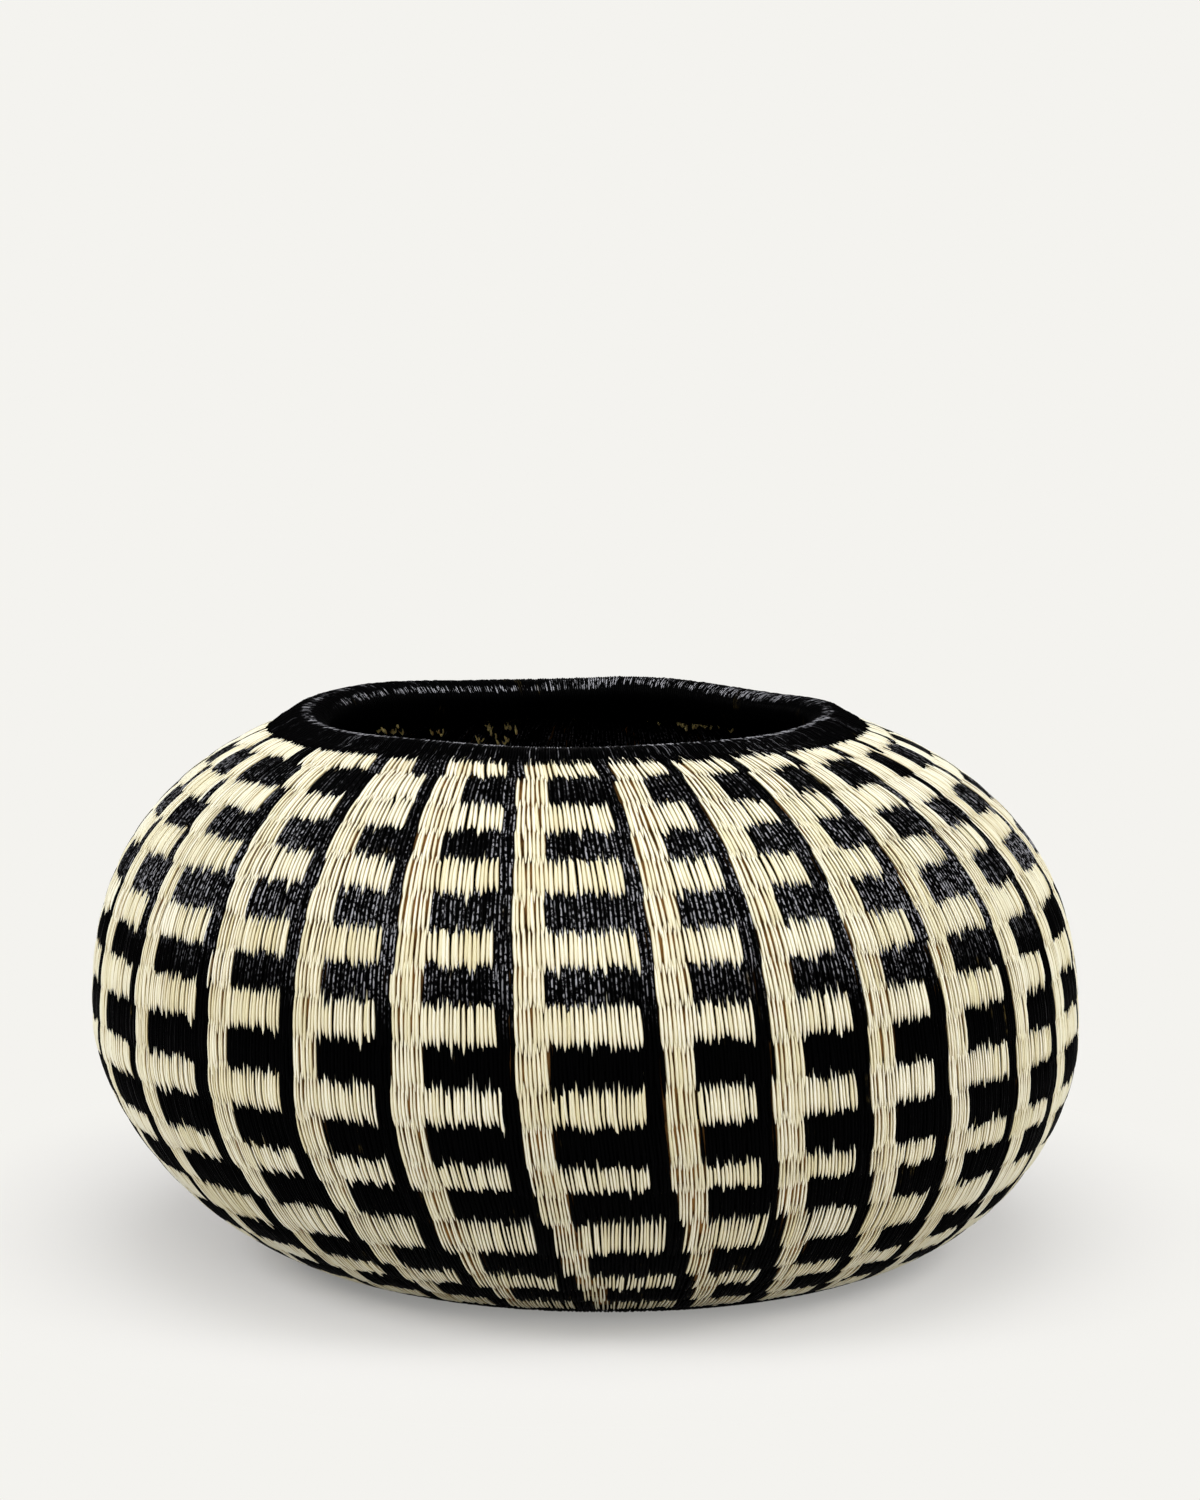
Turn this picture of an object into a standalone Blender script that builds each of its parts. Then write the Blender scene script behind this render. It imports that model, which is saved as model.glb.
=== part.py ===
"""Coiled palm basket, built the way it is sewn: one spiral coil from a start knot to a rolled rim.

Each turn of the coil is its own piece, from butt joint to butt joint at the back of the basket.
A round seats on the one below it with a small clearance, where the stitches pull the two together.
"""

import math

import bmesh
import bpy
from mathutils import Vector

# Outer shape, metres
BELLY_RADIUS = 0.1500
BELLY_HEIGHT = 0.0720
NECK_RADIUS = 0.0896
NECK_RISE = 0.0895
FOOT_RADIUS = 0.0790

# How far the basket leans to the left, a little over the belly and most at the mouth
HEEL_LEAN = 0.088
SHOULDER_LEAN = 0.022
MOUTH_SHIFT = 0.0036
MOUTH_POWER = 4

# Roundness of the two halves of the profile, where 2 is an ellipse
SHOULDER_FULLNESS = 2.50
HEEL_FULLNESS = 1.76

# The coil, whose height follows from the outline and the number of rounds
BASE_ROUNDS = 6
WALL_ROUNDS = 22
COIL_THICKNESS = 0.0090
SEAM_GROOVE = 0.0012
SEAT_GAP = 0.0003
KNOT_RADIUS = 0.0090
KNOT_EDGE = 0.0020
START_TAPER = 0.15

# The rim
RIM_WIDTH = 0.0160
RIM_THICKNESS = 0.0130
RIM_SEAT_SHARE = 0.42
LEVEL_ROUNDS = 6
LEVEL_POWER = 3.0

# The comb pattern's cream rounds, counted down from the rim
PATTERN_ROUNDS = 19

# Facets
ROUND_SEGMENTS = 32
RIM_SIDES = 12
PROFILE_STEPS = 240
SMOOTH_ANGLE = math.radians(50)

# Colours of the split palm, linear
NATURAL_PALM = (0.74, 0.65, 0.44, 1.0)
DYED_PALM = (0.012, 0.012, 0.014, 1.0)
FOUNDATION_FIBRE = (0.36, 0.25, 0.12, 1.0)


class Profile:
    """The basket's outline from the middle of the base to the mouth, read by length along it."""

    def __init__(self):
        points = [(0.0, 0.0)] + self.heel() + self.shoulder()
        self.points = [Vector(point) for point in points]
        self.lengths = [0.0]
        for first, second in zip(self.points, self.points[1:]):
            self.lengths.append(self.lengths[-1] + (second - first).length)

    def heel(self):
        """Flat foot, then a quarter of a superellipse out to the belly."""
        reach = BELLY_RADIUS - FOOT_RADIUS
        power = 2 / HEEL_FULLNESS
        angles = [math.pi / 2 * step / PROFILE_STEPS for step in range(PROFILE_STEPS + 1)]
        return [
            (
                FOOT_RADIUS + reach * math.sin(angle) ** power,
                BELLY_HEIGHT * (1 - math.cos(angle) ** power),
            )
            for angle in angles
        ]

    def shoulder(self):
        """A quarter of a superellipse from the belly in over the shoulder, through the neck."""
        power = 2 / SHOULDER_FULLNESS
        neck_share = (NECK_RADIUS / BELLY_RADIUS) ** SHOULDER_FULLNESS
        crown_rise = NECK_RISE / (1 - neck_share) ** (1 / SHOULDER_FULLNESS)
        angles = [math.pi / 2 * step / PROFILE_STEPS for step in range(1, PROFILE_STEPS + 1)]
        return [
            (
                BELLY_RADIUS * math.cos(angle) ** power,
                BELLY_HEIGHT + crown_rise * math.sin(angle) ** power,
            )
            for angle in angles
        ]

    def at(self, length):
        """Point and unit tangent of the outline at this length from the middle of the base."""
        low, high = 0, len(self.lengths) - 1
        while high - low > 1:
            middle = (low + high) // 2
            if self.lengths[middle] <= length:
                low = middle
            else:
                high = middle
        step = self.points[high] - self.points[low]
        share = (length - self.lengths[low]) / step.length
        return self.points[low] + step * share, step.normalized()

    def length_at_neck(self):
        """Length along the outline where the wall ends and the rim begins."""
        belly = PROFILE_STEPS + 1
        for index in range(belly, len(self.points)):
            inner, outer = self.points[index].x, self.points[index - 1].x
            if inner <= NECK_RADIUS:
                share = (outer - NECK_RADIUS) / (outer - inner)
                return self.lengths[index - 1] + share * (self.lengths[index] - self.lengths[index - 1])
        raise ValueError("the neck is wider than the belly")


def lean(height):
    """Sideways place of the basket's axis at this height."""
    rise = height - BELLY_HEIGHT
    if rise < 0:
        return -HEEL_LEAN * rise
    mouth = min(rise / NECK_RISE, 1) ** MOUTH_POWER
    return -SHOULDER_LEAN * rise - MOUTH_SHIFT * mouth


class Coil:
    """The spiral: which stretch of the outline the coil covers at each turn."""

    def __init__(self, profile):
        self.profile = profile
        self.neck = profile.length_at_neck()
        self.rounds = BASE_ROUNDS + WALL_ROUNDS
        self.pitch = (self.neck - KNOT_RADIUS) / (self.rounds - 0.5)

    def edge(self, turn):
        """Length along the outline of the coil's upper edge, turn by turn from the start knot.

        Near the rim the coil climbs only at the back, so that the mouth runs level.
        """
        whole = math.floor(turn)
        swing = 2 * (turn - whole) - 1
        nearness = min(max((turn - self.rounds) / LEVEL_ROUNDS + 1, 0), 1)
        power = 1 + (LEVEL_POWER - 1) * nearness
        climb = 0.5 + 0.5 * math.copysign(abs(swing) ** power, swing)
        return KNOT_RADIUS + self.pitch * (whole + climb)

    def wall_section(self, turn):
        """Seven corners: a crowned outside, flat seats above and below, a ridged inside."""
        low = max(self.edge(turn - 1), KNOT_RADIUS) + SEAT_GAP / 2
        high = self.edge(turn) - SEAT_GAP / 2
        inside = COIL_THICKNESS - SEAM_GROOVE
        corners = (
            (0.00, SEAM_GROOVE),
            (0.25, 0.0),
            (0.75, 0.0),
            (1.00, SEAM_GROOVE),
            (1.00, inside),
            (0.50, COIL_THICKNESS),
            (0.00, inside),
        )
        return [(low + share * (high - low), depth) for share, depth in corners]

    def rim_section(self, turn):
        """An oval, cut flat where it sits on the last round of the wall."""
        low = self.edge(turn - 1) + SEAT_GAP / 2
        width = self.neck + RIM_WIDTH - low
        corners = []
        for side in range(RIM_SIDES):
            angle = 2 * math.pi * (side + 0.5) / RIM_SIDES
            share = RIM_SEAT_SHARE - (1 - RIM_SEAT_SHARE) * math.cos(angle)
            depth = RIM_THICKNESS / 2 * (1 - math.sin(angle))
            corners.append((low + max(share, 0) * width, depth))
        return corners

    def place(self, turn, length, depth):
        """World position of a point under the outline, on the half plane of this turn."""
        point, tangent = self.profile.at(length)
        radius = point.x - depth * tangent.y
        height = point.y + depth * tangent.x
        angle = 2 * math.pi * turn
        return Vector((-radius * math.sin(angle) + lean(height), radius * math.cos(angle), height))


def finish(name, colour, roughness):
    """A plain material in the part's own colour."""
    material = bpy.data.materials.get(name)
    if material is None:
        material = bpy.data.materials.new(name)
        material.use_nodes = True
        shader = material.node_tree.nodes["Principled BSDF"]
        shader.inputs["Base Color"].default_value = colour
        shader.inputs["Roughness"].default_value = roughness
        shader.inputs["Metallic"].default_value = 0.0
        material.diffuse_color = colour
    return material


def add_piece(name, mesh, material, collection):
    """A named object for one piece, shaded smooth but for its sharp edges."""
    mesh.materials.append(material)
    mesh.shade_smooth()
    mesh.set_sharp_from_angle(angle=SMOOTH_ANGLE)
    piece = bpy.data.objects.new(name, mesh)
    collection.objects.link(piece)
    return piece


def skin(name, sections):
    """A closed mesh through a row of sections, each a ring of as many corners."""
    shape = bmesh.new()
    rings = [[shape.verts.new(corner) for corner in section] for section in sections]
    for first, second in zip(rings, rings[1:]):
        for side in range(len(first)):
            ahead = (side + 1) % len(first)
            shape.faces.new((first[side], first[ahead], second[ahead], second[side]))
    shape.faces.new(rings[0][::-1])
    shape.faces.new(rings[-1])
    bmesh.ops.recalc_face_normals(shape, faces=shape.faces)
    mesh = bpy.data.meshes.new(name)
    shape.to_mesh(mesh)
    shape.free()
    return mesh


def coil_round(name, coil, first_turn, last_turn, section_at):
    """One round of the coil, lofted through sections that lean and wedge with the wall."""
    sections = []
    for segment in range(ROUND_SEGMENTS + 1):
        turn = first_turn + (last_turn - first_turn) * segment / ROUND_SEGMENTS
        inward = {0: 1, ROUND_SEGMENTS: -1}.get(segment, 0)
        corners = section_at(turn)
        middle = sum(length for length, _ in corners) / len(corners)
        radius = coil.profile.at(middle)[0].x
        turn += inward * SEAT_GAP / 2 / (2 * math.pi * radius)
        sections.append([coil.place(turn, length, depth) for length, depth in corners])
    return skin(name, sections)


def start_knot(name):
    """The button in the middle of the base: a short cylinder with rounded edges."""
    shape = bmesh.new()
    bmesh.ops.create_cone(
        shape,
        cap_ends=True,
        segments=ROUND_SEGMENTS,
        radius1=KNOT_RADIUS - SEAT_GAP / 2,
        radius2=KNOT_RADIUS - SEAT_GAP / 2,
        depth=COIL_THICKNESS,
    )
    rims = [edge for edge in shape.edges if abs(edge.verts[0].co.z - edge.verts[1].co.z) < SEAT_GAP]
    bmesh.ops.bevel(shape, geom=rims, offset=KNOT_EDGE, segments=2, profile=0.5, affect="EDGES")
    for vert in shape.verts:
        height = vert.co.z + COIL_THICKNESS / 2
        vert.co = vert.co + Vector((lean(height), 0, COIL_THICKNESS / 2))
    mesh = bpy.data.meshes.new(name)
    shape.to_mesh(mesh)
    shape.free()
    return mesh


def centre(pieces):
    """Moves the basket so that the middle of its outline stands over the origin."""
    corners = [vert.co for piece in pieces for vert in piece.data.vertices]
    middle_x = (min(co.x for co in corners) + max(co.x for co in corners)) / 2
    middle_y = (min(co.y for co in corners) + max(co.y for co in corners)) / 2
    for piece in pieces:
        for vert in piece.data.vertices:
            vert.co.x -= middle_x
            vert.co.y -= middle_y


def round_name(number):
    """Base rounds and wall rounds are each counted from the middle outwards and up."""
    if number <= BASE_ROUNDS:
        return f"base_round_{number}"
    return f"wall_round_{number - BASE_ROUNDS:02d}"


def build():
    """Clears the scene and makes every piece of the basket."""
    for old in list(bpy.data.objects):
        bpy.data.objects.remove(old)
    collection = bpy.data.collections.new("coiled_palm_basket")
    bpy.context.scene.collection.children.link(collection)

    natural = finish("natural_palm", NATURAL_PALM, 0.6)
    dyed = finish("dyed_palm", DYED_PALM, 0.4)
    fibre = finish("palm_foundation", FOUNDATION_FIBRE, 0.8)

    coil = Coil(Profile())
    pieces = [add_piece("start_knot", start_knot("start_knot"), fibre, collection)]
    for number in range(1, coil.rounds + 1):
        name = round_name(number)
        first_turn = START_TAPER if number == 1 else number - 1
        mesh = coil_round(name, coil, first_turn, number, coil.wall_section)
        from_rim = coil.rounds - number
        cream = from_rim % 2 == 0 and from_rim < PATTERN_ROUNDS
        pieces.append(add_piece(name, mesh, natural if cream else dyed, collection))
    mesh = coil_round("rim_roll", coil, coil.rounds, coil.rounds + 1, coil.rim_section)
    pieces.append(add_piece("rim_roll", mesh, dyed, collection))
    centre(pieces)


build()
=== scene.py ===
"""Looks of the coiled palm basket: every round of the coil with its palm strands sewn over it.

The coil follows the same outline as the solids. Each round is a fibre core, a set of natural
strands and a set of dyed strands, and each strand is one closed, pointed sliver of palm that
starts under the round above and ends with its tip between two strands of the round below.
"""

import logging
import math
from collections.abc import Callable
from dataclasses import dataclass
from enum import Enum
from functools import cache

import bpy
import numpy as np
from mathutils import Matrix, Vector


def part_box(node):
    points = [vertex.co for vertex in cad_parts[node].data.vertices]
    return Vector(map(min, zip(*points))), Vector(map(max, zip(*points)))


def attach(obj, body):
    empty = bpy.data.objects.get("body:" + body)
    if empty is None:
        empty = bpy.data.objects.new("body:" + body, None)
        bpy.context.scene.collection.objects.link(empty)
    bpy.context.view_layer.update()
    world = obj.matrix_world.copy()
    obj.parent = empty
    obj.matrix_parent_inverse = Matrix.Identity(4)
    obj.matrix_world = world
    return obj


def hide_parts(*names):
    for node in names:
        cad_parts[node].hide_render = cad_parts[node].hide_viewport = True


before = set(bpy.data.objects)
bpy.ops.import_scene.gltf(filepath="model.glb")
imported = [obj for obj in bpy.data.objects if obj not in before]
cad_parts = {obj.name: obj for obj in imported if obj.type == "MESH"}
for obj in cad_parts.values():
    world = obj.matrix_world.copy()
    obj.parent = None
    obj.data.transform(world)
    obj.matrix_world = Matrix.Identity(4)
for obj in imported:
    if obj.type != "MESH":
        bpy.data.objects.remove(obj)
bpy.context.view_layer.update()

BODY = "root"
log = logging.getLogger("palm_basket")
Colour = tuple[float, float, float, float]
Pairs = tuple[tuple[float, float], ...]
Value = float | np.ndarray
Coat = tuple[object, object, object]


def ramp(value: Value, start: float, end: float) -> Value:
    """How far a value has come on its way from start to end, from 0 to 1."""
    return np.clip((value - start) / (end - start), 0, 1)


def smooth(share: Value) -> Value:
    """A share from 0 to 1 eased at both ends."""
    return share * share * (3 - 2 * share)


class Face(Enum):
    """The two faces of the basket's wall that a strand can lie on."""

    OUTSIDE = 1
    INSIDE = -1


class Slot(Enum):
    """The record's material slots: the two kinds of strand and the bundle under them."""

    NATURAL = "natural_palm"
    DYED = "dyed_palm"
    FOUNDATION = "palm_foundation"


@dataclass(frozen=True)
class CoilSizes:
    """Sizes of the coil in metres and rounds, the same as in the solids."""

    belly_radius: float = 0.1500
    belly_height: float = 0.0720
    neck_radius: float = 0.0896
    neck_rise: float = 0.0895
    foot_radius: float = 0.0790
    heel_lean: float = 0.088
    shoulder_lean: float = 0.022
    mouth_shift: float = 0.0036
    mouth_power: int = 4
    shoulder_fullness: float = 2.50
    heel_fullness: float = 1.76
    base_rounds: int = 6
    wall_rounds: int = 22
    thickness: float = 0.0090
    knot_radius: float = 0.0090
    start_taper: float = 0.15
    rim_width: float = 0.0160
    rim_thickness: float = 0.0130
    rim_seat_share: float = 0.42
    level_rounds: int = 6
    level_power: float = 3.0

    @property
    def rounds(self) -> int:
        """Rounds of the coil below the rim."""
        return self.base_rounds + self.wall_rounds

    def lean(self, height: np.ndarray) -> np.ndarray:
        """How far the basket's axis leans aside.

        Args:
            height: heights over the table.

        Returns:
            The axis's sideways place at each height, in metres.
        """
        rise = np.asarray(height) - self.belly_height
        mouth = ramp(rise, 0, self.neck_rise) ** self.mouth_power
        return -np.where(rise < 0, self.heel_lean, self.shoulder_lean) * rise - self.mouth_shift * mouth


class Outline:
    """The basket's outline from the middle of the base to the mouth, read by length along it."""

    STEPS = 1500

    def __init__(self, sizes: CoilSizes) -> None:
        """Lays out the points of the outline.

        Args:
            sizes: the coil's sizes.
        """
        angle = np.linspace(0, math.pi / 2, self.STEPS)
        heel = 2 / sizes.heel_fullness
        reach = sizes.belly_radius - sizes.foot_radius
        shoulder = 2 / sizes.shoulder_fullness
        neck_share = (sizes.neck_radius / sizes.belly_radius) ** sizes.shoulder_fullness
        crown = sizes.neck_rise / (1 - neck_share) ** (1 / sizes.shoulder_fullness)
        heel_radius = sizes.foot_radius + reach * np.sin(angle) ** heel
        heel_height = sizes.belly_height * (1 - np.cos(angle).clip(0) ** heel)
        top_radius = sizes.belly_radius * np.cos(angle[1:]).clip(0) ** shoulder
        top_height = sizes.belly_height + crown * np.sin(angle[1:]) ** shoulder
        self.radius = np.concatenate([[0.0], heel_radius, top_radius])
        self.height = np.concatenate([[0.0], heel_height, top_height])
        steps = np.hypot(np.diff(self.radius), np.diff(self.height))
        self.length = np.concatenate([[0.0], np.cumsum(steps)])
        slope = np.stack([np.gradient(self.radius, self.length), np.gradient(self.height, self.length)])
        self.slope = slope / np.linalg.norm(slope, axis=0)
        above = slice(self.STEPS + 1, None)
        self.neck = float(np.interp(-sizes.neck_radius, -self.radius[above], self.length[above]))

    def radius_at(self, length: np.ndarray) -> np.ndarray:
        """Distance from the basket's axis at a length along the outline."""
        return np.interp(length, self.length, self.radius)

    def offset(self, length: np.ndarray, depth: np.ndarray) -> tuple[np.ndarray, np.ndarray]:
        """Radius and height of points under the outline.

        Args:
            length: lengths along the outline.
            depth: depths under the outline, towards the inside of the basket.

        Returns:
            The radii and the heights.
        """
        out = np.interp(length, self.length, self.slope[0])
        up = np.interp(length, self.length, self.slope[1])
        radius = self.radius_at(length) - depth * up
        height = np.interp(length, self.length, self.height) + depth * out
        return radius, height


@dataclass(frozen=True)
class SeamDrift:
    """How the sewer's hand lets the seams rise and fall, in coil heights.

    The front values were measured on the photograph, from the seam under the first round down.
    """

    front_rise: tuple[float, ...] = (
        *(0.32, 0.10, 0.03, 0.11, 0.02, 0.04, 0.03, 0.10, 0.03),
        *(-0.04, -0.08, -0.15, 0.05, 0.05, -0.23, -0.23, -0.06, 0.05),
    )
    rim_rise: float = 0.10
    elsewhere: float = 0.10
    ripple: float = 0.035
    ripples_a_turn: int = 5
    steady_rounds: int = 6
    free_rounds: int = 9
    spare_rounds: int = 3
    seed: int = 11

    def rise_at(self, turn: np.ndarray, rounds: int) -> np.ndarray:
        """Rise of the coil's upper edge over its even place.

        Args:
            turn: turns of the coil from the start knot.
            rounds: rounds of the coil below the rim.

        Returns:
            The rise at each turn, in coil heights.
        """
        rng = np.random.default_rng(self.seed)
        halves = rng.uniform(-self.elsewhere, self.elsewhere, 2 * (rounds + self.spare_rounds))
        front = 2 * (rounds - 1.5 - np.arange(len(self.front_rise))) + 1
        halves[front.astype(int) - 1] = self.front_rise
        halves[2 * rounds - 1 :] = self.rim_rise
        ripples = rng.uniform(-self.ripple, self.ripple, (rounds + self.spare_rounds) * self.ripples_a_turn)
        rise = self.eased(halves, turn * 2) + self.eased(ripples, turn * self.ripples_a_turn)
        return rise * ramp(turn, self.steady_rounds, self.free_rounds)

    @staticmethod
    def eased(values: np.ndarray, place: np.ndarray) -> np.ndarray:
        """Values at whole places, joined by smooth steps.

        Args:
            values: the value at each whole place.
            place: the places to read.

        Returns:
            The value at each place.
        """
        place = np.clip(place, 0, len(values) - 1.001)
        whole = np.floor(place).astype(int)
        share = smooth(place - whole)
        return values[whole] * (1 - share) + values[whole + 1] * share


class SpiralCoil:
    """The spiral: where the coil lies on the outline at each turn."""

    def __init__(self, sizes: CoilSizes, drift: SeamDrift) -> None:
        """Works out the coil's height and its place in the frame.

        Args:
            sizes: the coil's sizes.
            drift: how the seams wander.
        """
        self.sizes = sizes
        self.drift = drift
        self.outline = Outline(sizes)
        self.neck = self.outline.neck
        self.pitch = (self.neck - sizes.knot_radius) / (sizes.rounds - 0.5)
        low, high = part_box("start_knot")
        self.shift = ((low.x + high.x) / 2 - float(sizes.lean(sizes.thickness / 2)), (low.y + high.y) / 2)

    def turns_of(self, number: int, count: int) -> np.ndarray:
        """Even turns along one round, which starts as a thin tip in the first."""
        return np.linspace(self.sizes.start_taper if number == 1 else number - 1, number, count)

    def edge(self, turn: np.ndarray) -> np.ndarray:
        """Length along the outline of the coil's upper edge, level near the rim but for its back.

        Args:
            turn: turns of the coil from the start knot.

        Returns:
            The lengths, never below the start knot's edge.
        """
        whole = np.floor(turn)
        swing = 2 * (turn - whole) - 1
        nearness = ramp(turn, self.sizes.rounds - self.sizes.level_rounds, self.sizes.rounds)
        power = 1 + (self.sizes.level_power - 1) * nearness
        climb = 0.5 + 0.5 * np.sign(swing) * np.abs(swing) ** power
        rise = self.drift.rise_at(turn, self.sizes.rounds)
        length = self.sizes.knot_radius + self.pitch * (whole + climb + rise)
        return np.maximum(length, self.sizes.knot_radius)

    def place(self, turn: np.ndarray, length: np.ndarray, depth: np.ndarray) -> np.ndarray:
        """World places of points under the outline.

        Args:
            turn: turns of the coil, whole at the back and half past at the front.
            length: lengths along the outline.
            depth: depths under the outline.

        Returns:
            An array of points, three numbers each.
        """
        radius, height = self.outline.offset(length, depth)
        angle = 2 * math.pi * turn
        x = -radius * np.sin(angle) + self.sizes.lean(height) + self.shift[0]
        y = radius * np.cos(angle) + self.shift[1]
        return np.stack([x, y, height], axis=-1)


@dataclass(frozen=True)
class CombPattern:
    """The comb pattern: upright natural spines, each with teeth to its right and a dyed bar between.

    The spines' places at the front, in degrees round from the middle, were measured.
    """

    rows: int = 19
    columns: int = 28
    front_spines: tuple[float, ...] = (
        *(-74.0, -60.5, -45.8, -33.0, -21.0, -7.3),
        *(8.2, 20.3, 31.8, 43.0, 55.8, 67.0),
    )
    spine_width: float = 0.0088
    low_spine_width: float = 0.0062
    bar_width: float = 0.0050
    top_bar_width: float = 0.0036
    measured_row: int = 8
    drift_a_row: float = 0.12
    low_drift_a_row: float = 0.75
    low_row: int = 12
    narrow_by_row: int = 16
    left_spread: float = 9.0
    left_spread_from: float = 35.0
    left_spread_run: float = 25.0
    left_spread_most: float = 1.2
    right_spread: float = 3.0
    right_spread_from: float = 20.0
    right_spread_by: float = 60.0
    spread_reach: float = 120.0
    spread_rows: int = 5
    hand: float = 0.13
    back_hand: float = 1.0
    odd_column: int = 3
    seed: int = 5

    def spines(self) -> np.ndarray:
        """Where each spine's left edge stands at the measured row.

        Returns:
            The places in degrees all the way round, with the first one again at the end.
        """
        rng = np.random.default_rng(self.seed)
        hidden = self.columns - len(self.front_spines)
        back = np.linspace(self.front_spines[-1], self.front_spines[0] + 360, hidden + 2)[1:-1]
        back = back + rng.uniform(-self.back_hand, self.back_hand, hidden)
        places = np.concatenate([self.front_spines, back])
        return np.concatenate([places, [places[0] + 360]])

    def natural(self, row: int, azimuth: np.ndarray, radius: np.ndarray) -> tuple[np.ndarray, np.ndarray]:
        """Which places of a round are natural palm.

        Args:
            row: the round, counted down from the rim.
            azimuth: degrees round from the front, towards the right.
            radius: the round's radius at each place.

        Returns:
            Whether each place is natural, and whether it is on a spine.
        """
        nothing = np.zeros(len(azimuth), bool)
        if row >= self.rows:
            return nothing, nothing
        spines = self.spines()
        near_top = max(1 - row / self.spread_rows, 0) ** 2
        left = np.clip((-azimuth - self.left_spread_from) / self.left_spread_run, 0, self.left_spread_most)
        right = ramp(azimuth, self.right_spread_from, self.right_spread_by)
        drift = self.drift_a_row * (row - self.measured_row)
        drift += self.low_drift_a_row * max(row - self.low_row, 0)
        drift = drift - self.left_spread * near_top * left * (azimuth > -self.spread_reach)
        drift = drift + self.right_spread * near_top * right * (azimuth < self.spread_reach)
        turned = (azimuth - drift - spines[0]) % 360 + spines[0]
        column = np.clip(np.searchsorted(spines, turned, side="right") - 1, 0, self.columns - 1)
        rng = np.random.default_rng((self.seed, row))
        wander = rng.normal(0, self.hand, self.columns + 1)
        wander[-1] = wander[0]
        to_length = np.radians(1) * radius
        after_spine = (turned - spines[column] - wander[column]) * to_length
        before_next = (spines[column + 1] + wander[column + 1] - turned) * to_length
        narrowed = ramp(row, self.low_row, self.narrow_by_row)
        spine_width = self.spine_width + (self.low_spine_width - self.spine_width) * narrowed
        widened = ramp(row, 0, self.measured_row)
        bar_width = self.top_bar_width + (self.bar_width - self.top_bar_width) * widened
        spine = (after_spine >= 0) & (after_spine < spine_width)
        spine |= before_next < 0
        bar = (before_next >= 0) & (before_next < bar_width) | (after_spine < 0)
        toothed = np.full(len(azimuth), row % 2 == 0)
        if row < 2:
            toothed = toothed ^ (column == self.odd_column)
        return spine | (toothed & ~bar), spine


@dataclass(frozen=True)
class StrandForm:
    """One sliver of palm: its stations from tip to top, its section and how it dips into the weave."""

    NEAR = 1e-5

    name: str
    sides: int
    stations: Pairs
    ridge: Pairs
    thickness: float

    def model(self) -> "StrandShape":
        """Models the sliver as by hand, from a ring extruded along its length and drawn to points.

        Returns:
            The sliver's shape, ready to be copied.
        """
        bpy.ops.object.select_all(action="DESELECT")
        bpy.ops.mesh.primitive_circle_add(vertices=self.sides, radius=0.5, fill_type="NOTHING")
        sliver = bpy.context.active_object
        sliver.name = self.name
        bpy.ops.object.mode_set(mode="EDIT")
        bpy.ops.mesh.select_all(action="SELECT")
        (tip, _), *rings, (top, _) = self.stations
        first, width = rings[0]
        bpy.ops.transform.translate(value=(0, 0, first))
        bpy.ops.transform.resize(value=(width, width, 1), center_override=(0, 0, first))
        for (low, old), (high, new) in zip(rings, rings[1:]):
            bpy.ops.mesh.extrude_edges_move(TRANSFORM_OT_translate={"value": (0, 0, high - low)})
            bpy.ops.transform.resize(value=(new / old, new / old, 1), center_override=(0, 0, high))
        bpy.ops.mesh.extrude_edges_move(TRANSFORM_OT_translate={"value": (0, 0, top - rings[-1][0])})
        bpy.ops.mesh.merge(type="CENTER")
        self.select_ring(sliver, first)
        bpy.ops.mesh.extrude_edges_move(TRANSFORM_OT_translate={"value": (0, 0, tip - first)})
        bpy.ops.mesh.merge(type="CENTER")
        bpy.ops.mesh.select_all(action="SELECT")
        bpy.ops.mesh.normals_make_consistent(inside=False)
        bpy.ops.object.mode_set(mode="OBJECT")
        shape = StrandShape(self, sliver.data)
        bpy.data.objects.remove(sliver)
        return shape

    @staticmethod
    def select_ring(sliver: bpy.types.Object, height: float) -> None:
        """Selects the ring of the sliver at a height.

        Args:
            sliver: the sliver being modelled, in edit mode.
            height: the ring's height.
        """
        bpy.ops.mesh.select_all(action="DESELECT")
        bpy.ops.object.mode_set(mode="OBJECT")
        for vert in sliver.data.vertices:
            vert.select = abs(vert.co.z - height) < StrandForm.NEAR
        for edge in sliver.data.edges:
            edge.select = all(sliver.data.vertices[index].select for index in edge.vertices)
        bpy.ops.object.mode_set(mode="EDIT")


class StrandShape:
    """A modelled sliver as arrays, from which every strand is copied.

    Its points and faces are put in an order of their own, since the mesh tools' order isn't steady.
    """

    PLACES = 6

    def __init__(self, form: StrandForm, mesh: bpy.types.Mesh) -> None:
        """Reads the modelled mesh.

        Args:
            form: the sliver's sizes.
            mesh: the modelled mesh.
        """
        self.form = form
        points = np.array([vert.co for vert in mesh.vertices])
        order = np.lexsort(np.round(points, self.PLACES).T)
        points, rank = points[order], np.argsort(order).tolist()
        low, high = points[:, 1].min(), points[:, 1].max()
        self.across = points[:, 0]
        self.along = points[:, 2]
        self.out = (points[:, 1] - low) / (high - low)
        self.widths = np.interp(self.along, *zip(*form.stations))
        self.out = np.where(self.widths > 0, self.out, 0.5)
        self.faces = sorted([rank[index] for index in face.vertices] for face in mesh.polygons)
        self.ridge = np.interp(self.along, *zip(*form.ridge))

    @property
    def side_share(self) -> np.ndarray:
        """Where each point lies across the sliver, from 0 at its left edge to 1 at its right."""
        return np.clip(0.5 + self.across / np.maximum(self.widths, 1e-6), 0, 1)


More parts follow.
